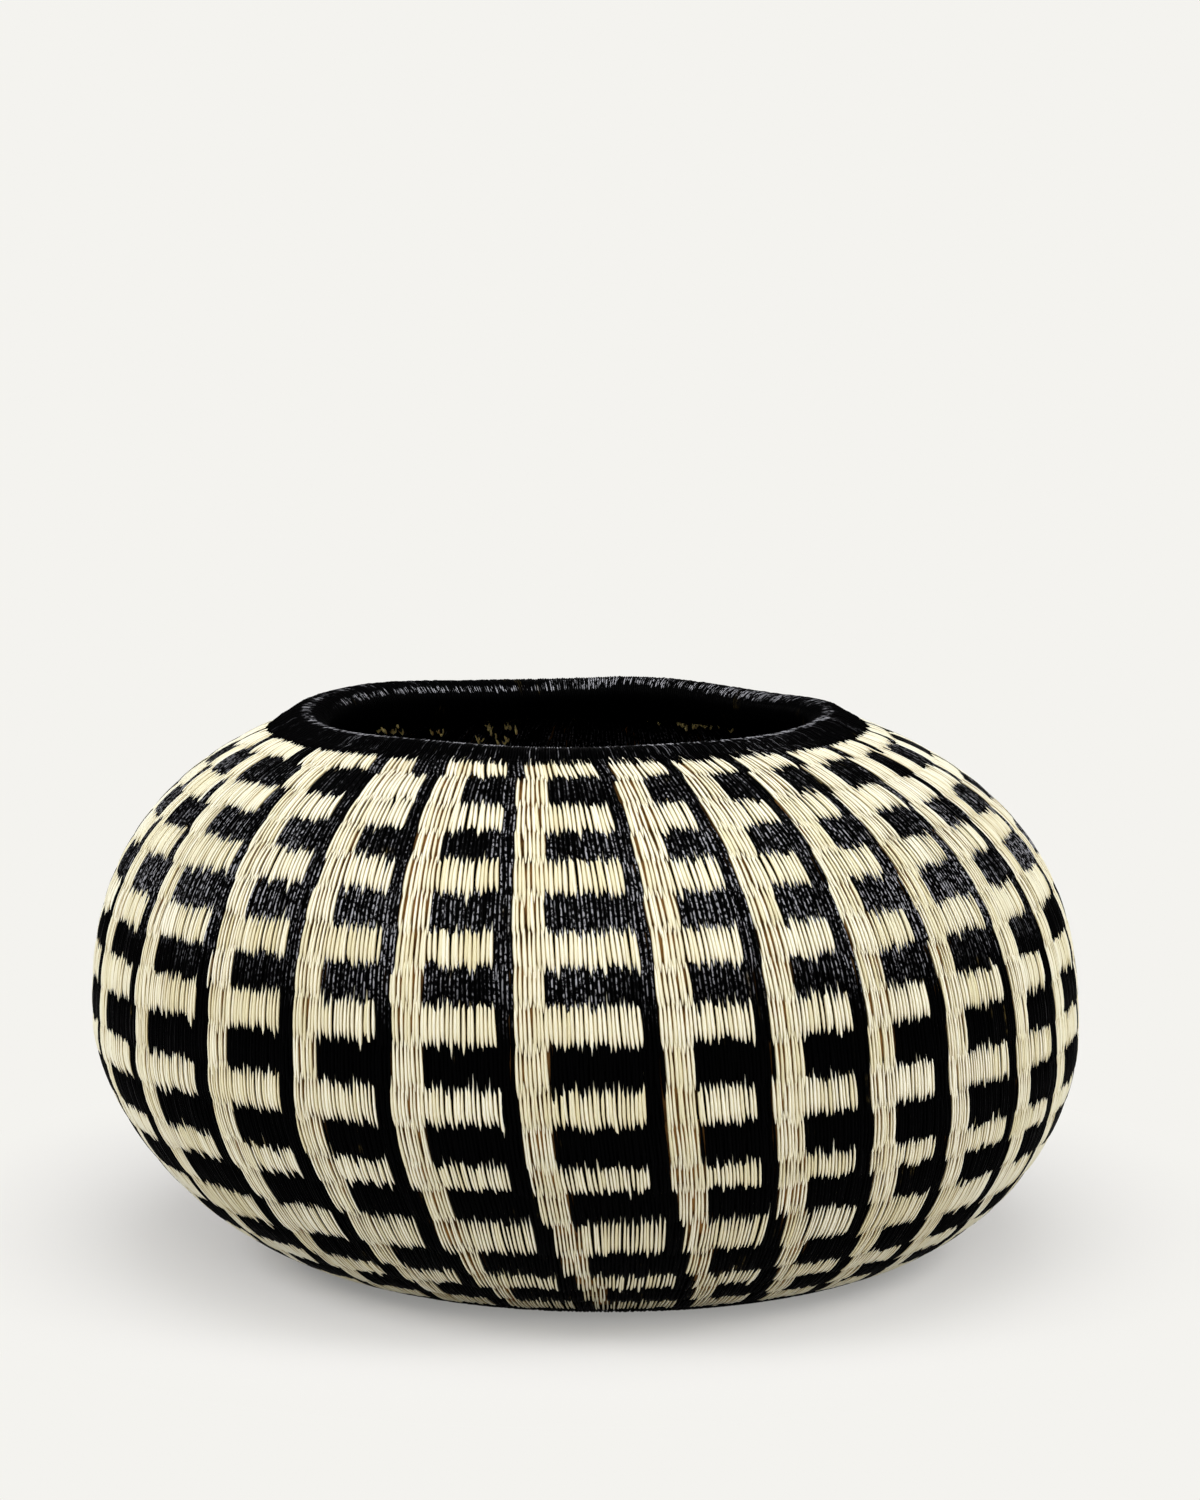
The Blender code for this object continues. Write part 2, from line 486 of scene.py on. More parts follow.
@dataclass
class Strands:
    """A set of strands to be laid: one value of each kind for each strand."""

    tips: np.ndarray
    tops: np.ndarray
    low: np.ndarray
    high: np.ndarray
    width: np.ndarray
    sink: np.ndarray
    roll: np.ndarray
    bow: np.ndarray
    loft: np.ndarray
    tone: np.ndarray
    lot: np.ndarray

    def pick(self, chosen: np.ndarray) -> "Strands":
        """Only the chosen strands."""
        return Strands(*(getattr(self, name)[chosen] for name in self.__dataclass_fields__))

    def joined(self, other: "Strands") -> "Strands":
        """These strands and then the others."""
        both = ((getattr(self, name), getattr(other, name)) for name in self.__dataclass_fields__)
        return Strands(*map(np.concatenate, both))


class MeshMaker:
    """Turns arrays into pieces of the basket, each with its mesh in place and its object at the origin."""

    @staticmethod
    def solid(name: str, copies: np.ndarray, faces: list[list[int]]) -> bpy.types.Object:
        """A smooth-shaded piece from copies of one closed shape, with its faces outwards.

        Args:
            name: the piece's name.
            copies: each copy's points, three numbers each.
            faces: the faces of one shape, as point numbers.

        Returns:
            The new object, linked to the scene.
        """
        if not MeshMaker.outward(copies[0], faces):
            faces = [face[::-1] for face in faces]
        count, step, _ = copies.shape
        corners = np.concatenate(faces)[None] + step * np.arange(count)[:, None]
        ends = np.cumsum(np.tile([len(face) for face in faces], count))
        mesh = bpy.data.meshes.new(name)
        mesh.vertices.add(count * step)
        mesh.vertices.foreach_set("co", copies.astype(np.float32).ravel())
        mesh.loops.add(corners.size)
        mesh.loops.foreach_set("vertex_index", corners.astype(np.int32).ravel())
        mesh.polygons.add(len(ends))
        mesh.polygons.foreach_set("loop_start", np.append(0, ends[:-1]).astype(np.int32))
        mesh.update(calc_edges=True)
        mesh.validate()
        mesh.shade_smooth()
        made = bpy.data.objects.new(name, mesh)
        bpy.context.scene.collection.objects.link(made)
        return made

    @staticmethod
    def paint(piece: bpy.types.Object, **numbers: np.ndarray) -> None:
        """Writes numbers for each point of a piece, which its material reads by name.

        Args:
            piece: the piece.
            numbers: the numbers, under the names that the material reads.
        """
        for name, values in numbers.items():
            attribute = piece.data.attributes.new(name, "FLOAT", "POINT")
            attribute.data.foreach_set("value", values.astype(np.float32).ravel())

    @staticmethod
    def outward(points: np.ndarray, faces: list[list[int]]) -> bool:
        """Tells from the sign of a closed shape's volume which way its faces point.

        Args:
            points: the shape's points.
            faces: its faces, as point numbers.

        Returns:
            Whether they point outwards.
        """
        points = points - points.mean(axis=0)
        fans = ((face[0], second, third) for face in faces for second, third in zip(face[1:], face[2:]))
        return sum(np.dot(points[one], np.cross(points[two], points[three])) for one, two, three in fans) > 0


def tube_faces(rings: int, sides: int) -> list[list[int]]:
    """Faces of a closed tube through rings of points, with a cap at each end.

    Args:
        rings: rings along the tube.
        sides: points in a ring.

    Returns:
        The faces, as point numbers.
    """
    last = (rings - 1) * sides
    faces = []
    for start in range(0, last, sides):
        for side in range(sides):
            ahead = (side + 1) % sides
            faces.append([start + side, start + ahead, start + sides + ahead, start + sides + side])
    return [*faces, list(range(sides))[::-1], list(range(last, last + sides))]


def both_faces(section: Pairs, thickness: float) -> tuple[np.ndarray, np.ndarray]:
    """A section that runs along the wall's outside and back along its inside.

    Args:
        section: places along the outside, each with its depth.
        thickness: the wall's thickness.

    Returns:
        The places and the depths all the way round.
    """
    places, depths = np.array(section).T
    return np.append(places, places[::-1]), np.append(depths, thickness - depths[::-1])


class StrandLayer:
    """Lays copies of a sliver on the coil and makes one piece of them."""

    # Heights where the dyed strands' painted glints set in and reach full strength, how much higher they
    # start at the sides, and how they dim near the rim.
    glint_from: float = 0.085
    glint_by: float = 0.118
    side_rise: float = 0.022
    top_dimming: float = 0.40
    dimming_from: float = 0.132
    dimming_by: float = 0.152
    inside_rise: float = 0.0014
    least_height: float = 0.00005
    least_radius: float = 0.0008

    def __init__(self, coil: SpiralCoil, shape: StrandShape) -> None:
        """Keeps the coil and the sliver to copy.

        Args:
            coil: the coil that the strands lie on.
            shape: the sliver.
        """
        self.coil = coil
        self.shape = shape

    def lay(self, name: str, strands: Strands, face: Face) -> bpy.types.Object:
        """One piece that holds all these strands.

        Args:
            name: the piece's name.
            strands: where each strand lies.
            face: the face of the wall that they lie on.

        Returns:
            The piece.
        """
        shape = self.shape
        along, across = shape.along[None], shape.across[None] * strands.width[:, None]
        bulge = np.sin(math.pi * along)
        turn = strands.tips[:, None] + (strands.tops - strands.tips)[:, None] * along
        length = strands.low[:, None] + (strands.high - strands.low)[:, None] * along
        section = shape.ridge + (1 - shape.out) * shape.form.thickness * shape.widths**0.5
        depth = section[None] + strands.sink[:, None] + strands.roll[:, None] * across
        depth = np.maximum(depth, 0.0 if face is Face.OUTSIDE else -self.inside_rise)
        depth = depth - strands.loft[:, None] * bulge
        if face is Face.INSIDE:
            depth = self.coil.sizes.thickness - depth
        radius = np.maximum(self.coil.outline.radius_at(length), self.least_radius)
        sideways = across + strands.bow[:, None] * bulge
        points = self.coil.place(turn + sideways / (2 * math.pi * radius), length, depth)
        points[..., 2] = np.maximum(points[..., 2], self.least_height)
        piece = MeshMaker.solid(name, points, shape.faces)
        count, step, _ = points.shape
        MeshMaker.paint(
            piece,
            along=np.tile(shape.along, count),
            across=np.tile(shape.side_share, count),
            tone=np.repeat(strands.tone, step),
            lot=np.repeat(strands.lot, step),
            painted_glint=self.painted_glint_at(points),
        )
        return piece

    def painted_glint_at(self, points: np.ndarray) -> np.ndarray:
        """How strong the strands' painted glints are: most on the shoulder, less far down at the sides,
        dimmer just under the rim, not at all below.

        Args:
            points: the strands' points.

        Returns:
            The painted glint strength at each point.
        """
        across, height = np.hypot(points[..., 0], points[..., 1]), points[..., 2]
        sideways = 1 - np.abs(points[..., 1]) / np.maximum(across, 0.001)
        share = ramp(height - self.side_rise * sideways, self.glint_from, self.glint_by)
        dimming = self.top_dimming * ramp(height, self.dimming_from, self.dimming_by)
        return smooth(share) * (1 - dimming)


@dataclass(frozen=True)
class Sewing:
    """How the strands are spaced and drawn through the round below."""

    spacing: float = 0.00127
    low_spacing: float = 0.00108
    fine_from_row: int = 6
    fine_by_row: int = 12
    spacing_hand: float = 0.20
    spine_overlap: float = 0.29
    tooth_overlap: float = 0.17
    dyed_overlap: float = 0.34
    overlap_hand: float = 0.08
    overlap_less: float = 0.1
    overlap_more: float = 0.2
    top_reach: float = 0.13
    top_hand: float = 0.075
    long_tips: float = 0.10
    long_tip_reach: tuple[float, float] = (0.08, 0.25)
    least_low: float = 0.0012
    lean: float = 0.05
    top_lean: float = 0.16
    low_lean: float = -0.06
    low_row: int = 14
    snap: float = 0.92
    tight_miss: float = 0.26
    loose_miss: float = 0.50
    natural_tooth_width: float = 1.03
    natural_spine_width: float = 0.93
    dyed_width: float = 1.08
    width_hand: float = 0.16
    thin_from_row: int = 9
    thin_by_row: int = 18
    thin_width: float = 0.62
    sink_hand: float = 0.00006
    roll_hand: float = 0.20
    bow_hand: float = 0.13
    strand_stitches: int = 14
    tone: float = 0.46
    # Deeper straw from the upper rounds down: painted shade, the natural palm darker lower down.
    low_shade_tone: float = 0.11
    shade_from_row: int = 1
    shade_by_row: int = 5
    lot_hand: float = 0.07
    tone_hand: float = 0.10
    samples: int = 720
    seed: int = 23

    def lean_of(self, row: int) -> float:
        """How far a strand's tip lies to the right of its top.

        Args:
            row: the round, counted down from the rim.

        Returns:
            The lean, as a share of the strand's length.
        """
        if row == 0:
            return self.top_lean
        return self.low_lean if row >= self.low_row else self.lean

    def tone_of(self, row: int) -> float:
        """How straw-coloured a round's natural palm is, more so low down, as painted shade."""
        return self.tone + self.low_shade_tone * ramp(row, self.shade_from_row, self.shade_by_row)

    def spacing_of(self, row: int) -> float:
        """The spacing of a round's strands, finer low down, in metres."""
        fineness = ramp(row, self.fine_from_row, self.fine_by_row)
        return self.spacing + (self.low_spacing - self.spacing) * fineness

    def tops_of(self, coil: SpiralCoil, number: int) -> tuple[np.ndarray, np.ndarray]:
        """Where the strands of a round go over its top, in turns.

        Args:
            coil: the coil.
            number: the round, counted from the start knot.

        Returns:
            The turns in order, evenly spaced and then as the hand sets them.
        """
        rng = np.random.default_rng((self.seed, number))
        turns = coil.turns_of(number, self.samples)
        middle = (coil.edge(turns - 1) + coil.edge(turns)) / 2
        radius = coil.outline.radius_at(middle)
        steps = (radius[1:] + radius[:-1]) / 2 * 2 * math.pi * np.diff(turns)
        arc = np.concatenate([[0.0], np.cumsum(steps)])
        count = round(arc[-1] / self.spacing_of(coil.sizes.rounds - number))
        hand = rng.uniform(-self.spacing_hand, self.spacing_hand, count)
        even = (np.arange(count) + 0.5) / count * arc[-1]
        return np.interp(even, arc, turns), np.interp(even + hand / count * arc[-1], arc, turns)

    def tips_of(self, coil: SpiralCoil, number: int, a_turn: np.ndarray) -> np.ndarray:
        """Where the tips of a round's strands pierce the round below, each in its own gap.

        Args:
            coil: the coil.
            number: the round, counted from the start knot.
            a_turn: the length of a whole turn at each strand.

        Returns:
            The tips' turns.
        """
        even, tops = self.tops_of(coil, number)
        lean = self.lean_of(coil.sizes.rounds - number) * coil.pitch / a_turn
        if number == 1:
            return tops + lean
        even_below, below = (turns + 1 for turns in self.tops_of(coil, number - 1))
        even_gaps = (even_below[1:] + even_below[:-1]) / 2
        gaps = (below[1:] + below[:-1]) / 2
        wanted = even + lean
        at = np.clip(np.searchsorted(even_gaps, wanted), 1, len(even_gaps) - 1)
        at = np.where(wanted - even_gaps[at - 1] < even_gaps[at] - wanted, at - 1, at)
        miss = np.abs(even_gaps[at] - wanted) * a_turn / self.spacing
        pull = self.snap * np.clip((self.loose_miss - miss) / (self.loose_miss - self.tight_miss), 0, 1)
        return tops + lean + pull * (gaps[at] - tops - lean)

    def strands(self, coil: SpiralCoil, number: int, pattern: CombPattern) -> tuple[Strands, np.ndarray]:
        """All the strands of one round on the outside of the basket.

        Args:
            coil: the coil.
            number: the round, counted from the start knot.
            pattern: the comb pattern.

        Returns:
            The strands, and whether each is natural.
        """
        rng = np.random.default_rng((self.seed, 100 + number))
        row = coil.sizes.rounds - number
        _, tops = self.tops_of(coil, number)
        count = len(tops)
        radius = coil.outline.radius_at((coil.edge(tops - 1) + coil.edge(tops)) / 2)
        tips = self.tips_of(coil, number, 2 * math.pi * radius)
        azimuth = (tops % 1 - 0.5) * 360
        natural, spine = pattern.natural(row, azimuth, radius)
        kinds = [natural & spine, natural]
        overlap = np.select(kinds, [self.spine_overlap, self.tooth_overlap], self.dyed_overlap)
        slack = rng.normal(0, self.overlap_hand, count)
        overlap = overlap + np.clip(slack, -self.overlap_less, self.overlap_more)
        overlap = overlap + (rng.random(count) < self.long_tips) * rng.uniform(*self.long_tip_reach, count)
        share = np.select(kinds, [self.natural_spine_width, self.natural_tooth_width], self.dyed_width)
        thinned = 1 - (1 - self.thin_width) * ramp(row, self.thin_from_row, self.thin_by_row)
        share = share * np.where(natural, thinned, 1.0)
        spacing = self.spacing_of(row)
        width = spacing * share * (1 + rng.uniform(-self.width_hand, self.width_hand, count))
        lots = np.cumsum(rng.random(count) < 1 / self.strand_stitches)
        lot_tone = rng.normal(0, 1, count + 1)[lots]
        tone = self.tone_of(row) + self.lot_hand * lot_tone + self.tone_hand * rng.normal(0, 1, count)
        low = np.maximum(coil.edge(tips - 1) - overlap * coil.pitch, self.least_low)
        made = Strands(
            tips=tips,
            tops=tops,
            low=low,
            high=coil.edge(tops) + (self.top_reach + rng.normal(0, self.top_hand, count)) * coil.pitch,
            width=width,
            sink=rng.normal(0, self.sink_hand, count),
            roll=rng.normal(0, self.roll_hand, count),
            bow=spacing * rng.normal(0, self.bow_hand, count),
            loft=np.zeros(count),
            tone=np.clip(tone, 0, 1),
            lot=rng.random(count),
        )
        return made, natural


OUTER_SLIVER = StrandForm(
    name="outer_sliver",
    sides=5,
    stations=(
        *((0.0, 0.0), (0.06, 0.40), (0.17, 0.84), (0.30, 1.0)),
        *((0.48, 0.97), (0.68, 0.79), (0.88, 0.58), (1.0, 0.0)),
    ),
    ridge=(
        *((0.0, 0.0007), (0.06, 0.00030), (0.17, 0.00008), (0.30, 0.00001)),
        *((0.50, 0.0), (0.72, 0.00010), (0.90, 0.00032), (1.0, 0.0007)),
    ),
    thickness=0.00085,
)

INNER_SLIVER = StrandForm(
    name="inner_sliver",
    sides=4,
    stations=((0.0, 0.0), (0.14, 0.66), (0.40, 1.0), (0.76, 0.94), (0.92, 0.60), (1.0, 0.0)),
    ridge=((0.0, 0.0010), (0.06, 0.0005), (0.18, 0.0001), (0.50, 0.0), (0.80, 0.0002), (1.0, 0.0011)),
    thickness=0.00085,
)


class NodeBench:
    """Small helpers to lay out shader nodes."""

    def __init__(self, tree: bpy.types.NodeTree) -> None:
        """Works on one node tree."""
        self.tree = tree

    def add(self, kind: str, **settings: object) -> bpy.types.Node:
        """A new node.

        Args:
            kind: the node's type name.
            settings: properties of the node.

        Returns:
            The node.
        """
        node = self.tree.nodes.new(kind)
        for name, value in settings.items():
            setattr(node, name, value)
        return node

    def join(self, source: object, target: object) -> None:
        """Sets a socket to a number or colour, or links an output to it.

        Args:
            source: the number, colour or output.
            target: the socket.
        """
        if isinstance(source, bpy.types.NodeSocket):
            self.tree.links.new(source, target)
        else:
            target.default_value = source

    def joined(self, node: bpy.types.Node, *values: object) -> bpy.types.NodeSocket:
        """Sets or links a node's first inputs in order.

        Args:
            node: the node.
            values: numbers, colours or outputs for its inputs.

        Returns:
            The node's first result.
        """
        for value, socket in zip(values, node.inputs):
            self.join(value, socket)
        return node.outputs[0]

    def maths(self, operation: str, *values: object) -> bpy.types.NodeSocket:
        """A maths node's result."""
        return self.joined(self.add("ShaderNodeMath", operation=operation), *values)

    def times(self, first: object, *others: object) -> object:
        """Values multiplied together.

        Args:
            first: the first value.
            others: the other values.

        Returns:
            The product of them all.
        """
        for other in others:
            first = self.maths("MULTIPLY", first, other)
        return first

    def spread(self, value: object, *ends: float | bpy.types.NodeSocket) -> bpy.types.NodeSocket:
        """A value carried smoothly from one range to another, or to 0 and 1 where only one is given."""
        node = self.add("ShaderNodeMapRange", interpolation_type="SMOOTHSTEP")
        return self.joined(node, value, *ends)

    def blend(self, share: object, first: object, second: object) -> bpy.types.NodeSocket:
        """Two colours mixed.

        Args:
            share: how much of the second colour there is.
            first: the first colour.
            second: the second colour.

        Returns:
            The mixed colour.
        """
        node = self.add("ShaderNodeMix", data_type="RGBA")
        for value, socket in ((share, node.inputs[0]), (first, node.inputs[6]), (second, node.inputs[7])):
            self.join(value, socket)
        return node.outputs[2]

    def layered(self, colour: object, *coats: tuple[object, object]) -> object:
        """A colour with coats over it.

        Args:
            colour: the colour underneath.
            coats: each a mask and its colour, from the lowest up.

        Returns:
            The colour that shows.
        """
        for share, coat in coats:
            colour = self.blend(share, colour, coat)
        return colour

    def noise(self, place: object, scale: float, detail: float, rough: float) -> bpy.types.NodeSocket:
        """A noise texture.

        Args:
            place: the place to read it at.
            scale: how fine it is.
            detail: how many finer noises lie over it.
            rough: how strong those are.

        Returns:
            Its value.
        """
        node = self.add("ShaderNodeTexNoise")
        for name, value in (("Vector", place), ("Scale", scale), ("Detail", detail), ("Roughness", rough)):
            self.join(value, node.inputs[name])
        return node.outputs["Fac"]

    def reading(self, name: str) -> bpy.types.NodeSocket:
        """The number that a piece holds at each point under this name."""
        return self.add("ShaderNodeAttribute", attribute_name=name).outputs["Fac"]

    def place(self) -> bpy.types.NodeSocket:
        """The point's place on the basket."""
        return self.add("ShaderNodeTexCoord").outputs["Object"]

    def scaled_place(self, *pairs: tuple[object, object]) -> bpy.types.NodeSocket:
        """A place whose three numbers are each the product of a pair."""
        return self.joined(self.add("ShaderNodeCombineXYZ"), *(self.times(*pair) for pair in pairs))

    def from_middle(self, across: object) -> bpy.types.NodeSocket:
        """How far a point lies from a strand's middle line, up to 1 at its edges."""
        return self.times(self.maths("ABSOLUTE", self.maths("SUBTRACT", across, 0.5)), 2.0)

    def group(self, tree: bpy.types.NodeTree, **values: object) -> bpy.types.bpy_prop_collection:
        """Uses a node group.

        Args:
            tree: the group.
            values: its inputs, by their names in small letters.

        Returns:
            The group's results.
        """
        node = self.add("ShaderNodeGroup", node_tree=tree)
        for name, value in values.items():
            self.join(value, node.inputs[name.capitalize()])
        return node.outputs

    def shown_to_camera(self, share: object, lit: object, seen: object, target: object) -> None:
        """Shows the camera another shader than the one that meets the light.

        Args:
            share: how much of the other shader the camera sees.
            lit: the shader that meets the light.
            seen: the shader for the camera.
            target: the output to join.
        """
        camera = self.times(self.add("ShaderNodeLightPath").outputs["Is Camera Ray"], share)
        self.join(self.joined(self.add("ShaderNodeMixShader"), camera, lit, seen), target)


def new_group(
    name: str, inputs: dict[str, float], outputs: tuple[str, ...]
) -> tuple[NodeBench, object, object]:
    """A new node group of numbers.

    Args:
        name: the group's name.
        inputs: its inputs, each with its value where nothing is joined.
        outputs: its results.

    Returns:
        A bench for its nodes, its inputs and its results.
    """
    tree = bpy.data.node_groups.new(name, "ShaderNodeTree")
    for label, value in inputs.items():
        tree.interface.new_socket(label, in_out="INPUT", socket_type="NodeSocketFloat").default_value = value
    for label in outputs:
        tree.interface.new_socket(label, in_out="OUTPUT", socket_type="NodeSocketFloat")
    bench = NodeBench(tree)
    return bench, bench.add("NodeGroupInput").outputs, bench.add("NodeGroupOutput").inputs


@cache
def fibre_group() -> bpy.types.NodeTree:
    """The fine fibres that run along a split strand, used by the natural and the dyed palm.

    Returns:
        The node group, with a streak mask and a height.
    """
    inputs = {"Along": 0.5, "Across": 0.5, "Lot": 0.0, "Fibres": 7.0}
    bench, given, result = new_group("palm_fibres", inputs, ("Streak", "Height"))
    pairs = (given["Across"], given["Fibres"]), (given["Along"], 3.0), (given["Lot"], 60.0)
    grain = bench.noise(bench.scaled_place(*pairs), 1.0, 3.0, 0.6)
    bench.join(bench.spread(grain, 0.35, 0.68), result["Streak"])
    bench.join(grain, result["Height"])
    return bench.tree


@cache
def dash_group() -> bpy.types.NodeTree:
    """Short dashes along the ridge of a strand, where the dyed palm's painted glints and brown flecks lie.

    Returns:
        The node group, with a dash mask.
    """
    inputs = {"Along": 0.5, "Across": 0.5, "Lot": 0.0, "Dashes": 12.0}
    bench, given, result = new_group("strand_dashes", inputs, ("Dash",))
    pairs = (given["Along"], given["Dashes"]), (given["Across"], 1.6), (given["Lot"], 90.0)
    broken = bench.spread(bench.noise(bench.scaled_place(*pairs), 1.0, 2.0, 0.6), 0.42, 0.60)
    ridge = bench.spread(bench.from_middle(given["Across"]), 0.10, 0.62, 1.0, 0.0)
    bench.join(bench.times(broken, ridge), result["Dash"])
    return bench.tree


@cache
def edge_group() -> bpy.types.NodeTree:
    """The thin edges and drawn-in ends of a strand, which show darker; the darker edges are partly painted
    shade.

    Returns:
        The node group, with a side mask, a narrower edge mask and an end mask.
    """
    inputs = {"Along": 0.5, "Across": 0.5, "Edge Start": 0.50}
    bench, given, result = new_group("strand_edges", inputs, ("Side", "Edge", "End"))
    from_middle = bench.from_middle(given["Across"])
    bench.join(bench.spread(from_middle, 0.15, 0.75), result["Side"])
    bench.join(bench.spread(from_middle, given["Edge Start"], 1.0), result["Edge"])
    tip = bench.spread(given["Along"], 0.0, 0.16, 1.0, 0.0)
    top = bench.spread(given["Along"], 0.80, 1.0)
    bench.join(bench.maths("MAXIMUM", tip, top), result["End"])
    return bench.tree


@dataclass(frozen=True)
class Surface:
    """How a finish shines and how far its grain stands up, in metres."""

    roughness: tuple[float, float]
    gloss: float
    relief: float
    relief_depth: float
    grain_ends: tuple[float, float] = (0.0, 1.0)

    def material(self, slot: Slot, paint: Callable[[NodeBench], Coat]) -> bpy.types.Material:
        """A material with this surface.

        Args:
            slot: the record's material slot, which names it.
            paint: lays out the nodes for its colour, the grain of its shine and the grain's height.

        Returns:
            The material.
        """
        made, bench, shader = new_material(slot.value)
        colour, grain, height = paint(bench)
        bench.join(colour, shader.inputs["Base Color"])
        bench.join(bench.spread(grain, *self.grain_ends, *self.roughness), shader.inputs["Roughness"])
        shader.inputs["Specular IOR Level"].default_value = self.gloss
        bump = bench.add("ShaderNodeBump")
        for name, value in (("Strength", self.relief), ("Distance", self.relief_depth), ("Height", height)):
            bench.join(value, bump.inputs[name])
        bench.join(bump.outputs["Normal"], shader.inputs["Normal"])
        return made


def new_material(name: str) -> tuple[bpy.types.Material, NodeBench, bpy.types.Node]:
    """A material with a plain shader.

    Args:
        name: the material's name.

    Returns:
        The material, a bench for its nodes, and its shader.
    """
    made = bpy.data.materials.new(name)
    made.use_nodes = True
    return made, NodeBench(made.node_tree), made.node_tree.nodes["Principled BSDF"]


@dataclass(frozen=True)
class NaturalPalm:
    """Undyed split palm: pale cream with tan edges, partly painted shade, fine fibres, darker ends, a few
    brown stains and golden inner ends.
    """

    slot: Slot = Slot.NATURAL
    pale: Colour = (0.95, 0.93, 0.79, 1.0)
    straw: Colour = (0.755, 0.69, 0.43, 1.0)
    edge: Colour = (0.42, 0.30, 0.105, 1.0)
    dark_brown: Colour = (0.34, 0.19, 0.06, 1.0)
    gold: Colour = (0.98, 0.77, 0.30, 1.0)
    streak_share: float = 0.26
    side_share: float = 0.55
    edge_share: float = 0.90
    end_darkening: float = 0.42
    patch_stain: float = 0.14
    patch_noise: tuple[float, float, float] = (55.0, 3.0, 0.6)
    patch_ends: tuple[float, float] = (0.56, 0.74)
    darker_end_lots: tuple[float, float, float, float] = (0.25, 1.0, 0.15, 0.75)
    straw_tones: tuple[float, float] = (0.30, 1.0)
    gold_tones: tuple[float, float] = (1.0, 1.6)
    surface: Surface = Surface((0.52, 0.74), 0.14, 0.25, 0.00012)

    def paint(self, bench: NodeBench) -> Coat:
        """Lays out the nodes of the natural strands.

        Args:
            bench: the bench of the material's nodes.

        Returns:
            The colour, the grain of the shine and the grain's height.
        """
        along, across, tone, lot = (bench.reading(name) for name in ("along", "across", "tone", "lot"))
        fibres = bench.group(fibre_group(), along=along, across=across, lot=lot)
        edges = bench.group(edge_group(), along=along, across=across)
        patch = bench.spread(bench.noise(bench.place(), *self.patch_noise), *self.patch_ends)
        # The ends darker towards both tips, more on some strands, joined with the brown stain patches.
        ends = bench.times(edges["End"], bench.spread(lot, *self.darker_end_lots))
        stains_and_dark_ends = (bench.times(ends, self.end_darkening), bench.times(patch, self.patch_stain))
        darkening = bench.maths("MAXIMUM", *stains_and_dark_ends)
        colour = bench.layered(
            self.pale,
            (bench.spread(tone, *self.straw_tones), self.straw),
            (bench.times(fibres["Streak"], self.streak_share), self.straw),
            # Straw sides and tan edges: partly the palm's own colour, partly painted shade where each strand
            # rounds off and meets its neighbours.
            (bench.times(edges["Side"], self.side_share), self.straw),
            (bench.times(edges["Edge"], self.edge_share), self.edge),
            (bench.spread(tone, *self.gold_tones), self.gold),
            (darkening, self.dark_brown),
        )
        return colour, fibres["Streak"], fibres["Height"]


@dataclass(frozen=True)
class DyedPalm:
    """Palm dyed black: almost no colour, with short grey dashes along its ridge as painted glints, and a few
    brown flecks.
    """

    slot: Slot = Slot.DYED
    deep: Colour = (0.0004, 0.0004, 0.0005, 1.0)
    glint: Colour = (0.32, 0.32, 0.345, 1.0)
    brown: Colour = (0.110, 0.080, 0.025, 1.0)
    patch_noise: tuple[float, float, float] = (42.0, 3.0, 0.55)
    patch_ends: tuple[float, float, float, float] = (0.36, 0.62, 0.50, 1.0)
    glint_tones: tuple[float, float, float, float] = (0.22, 0.70, 0.25, 1.0)
    glint_ends: tuple[float, float] = (0.07, 0.64)
    fade_noise: tuple[float, float, float] = (60.0, 2.0, 0.6)
    fade_ends: tuple[float, float] = (0.62, 0.74)
    faded_lots: tuple[float, float] = (0.60, 0.90)
    surface: Surface = Surface((0.26, 0.52), 0.012, 0.5, 0.00016)

    def paint(self, bench: NodeBench) -> Coat:
        """Lays out the nodes of the dyed strands.

        Args:
            bench: the bench of the material's nodes.

        Returns:
            The colour, the grain of the shine and the grain's height.
        """
        along, across, tone, lot = (bench.reading(name) for name in ("along", "across", "tone", "lot"))
        fibres = bench.group(fibre_group(), along=along, across=across, lot=lot)
        dash = bench.group(dash_group(), along=along, across=across, lot=lot)["Dash"]
        place = bench.place()
        patch = bench.spread(bench.noise(place, *self.patch_noise), *self.patch_ends)
        # Painted glints: grey dashes along the ridges, as strong as the glint strength each point holds, high
        # on the shoulder and at the rim's crest.
        glint_strength = bench.reading("painted_glint")
        glint = bench.times(dash, glint_strength, bench.spread(tone, *self.glint_tones), patch)
        faded = bench.spread(bench.noise(place, *self.fade_noise), *self.fade_ends)
        faded = bench.times(faded, bench.spread(lot, *self.faded_lots), dash)
        glints = (bench.spread(glint, *self.glint_ends), self.glint)
        return bench.layered(self.deep, glints, (faded, self.brown)), fibres["Streak"], fibres["Height"]


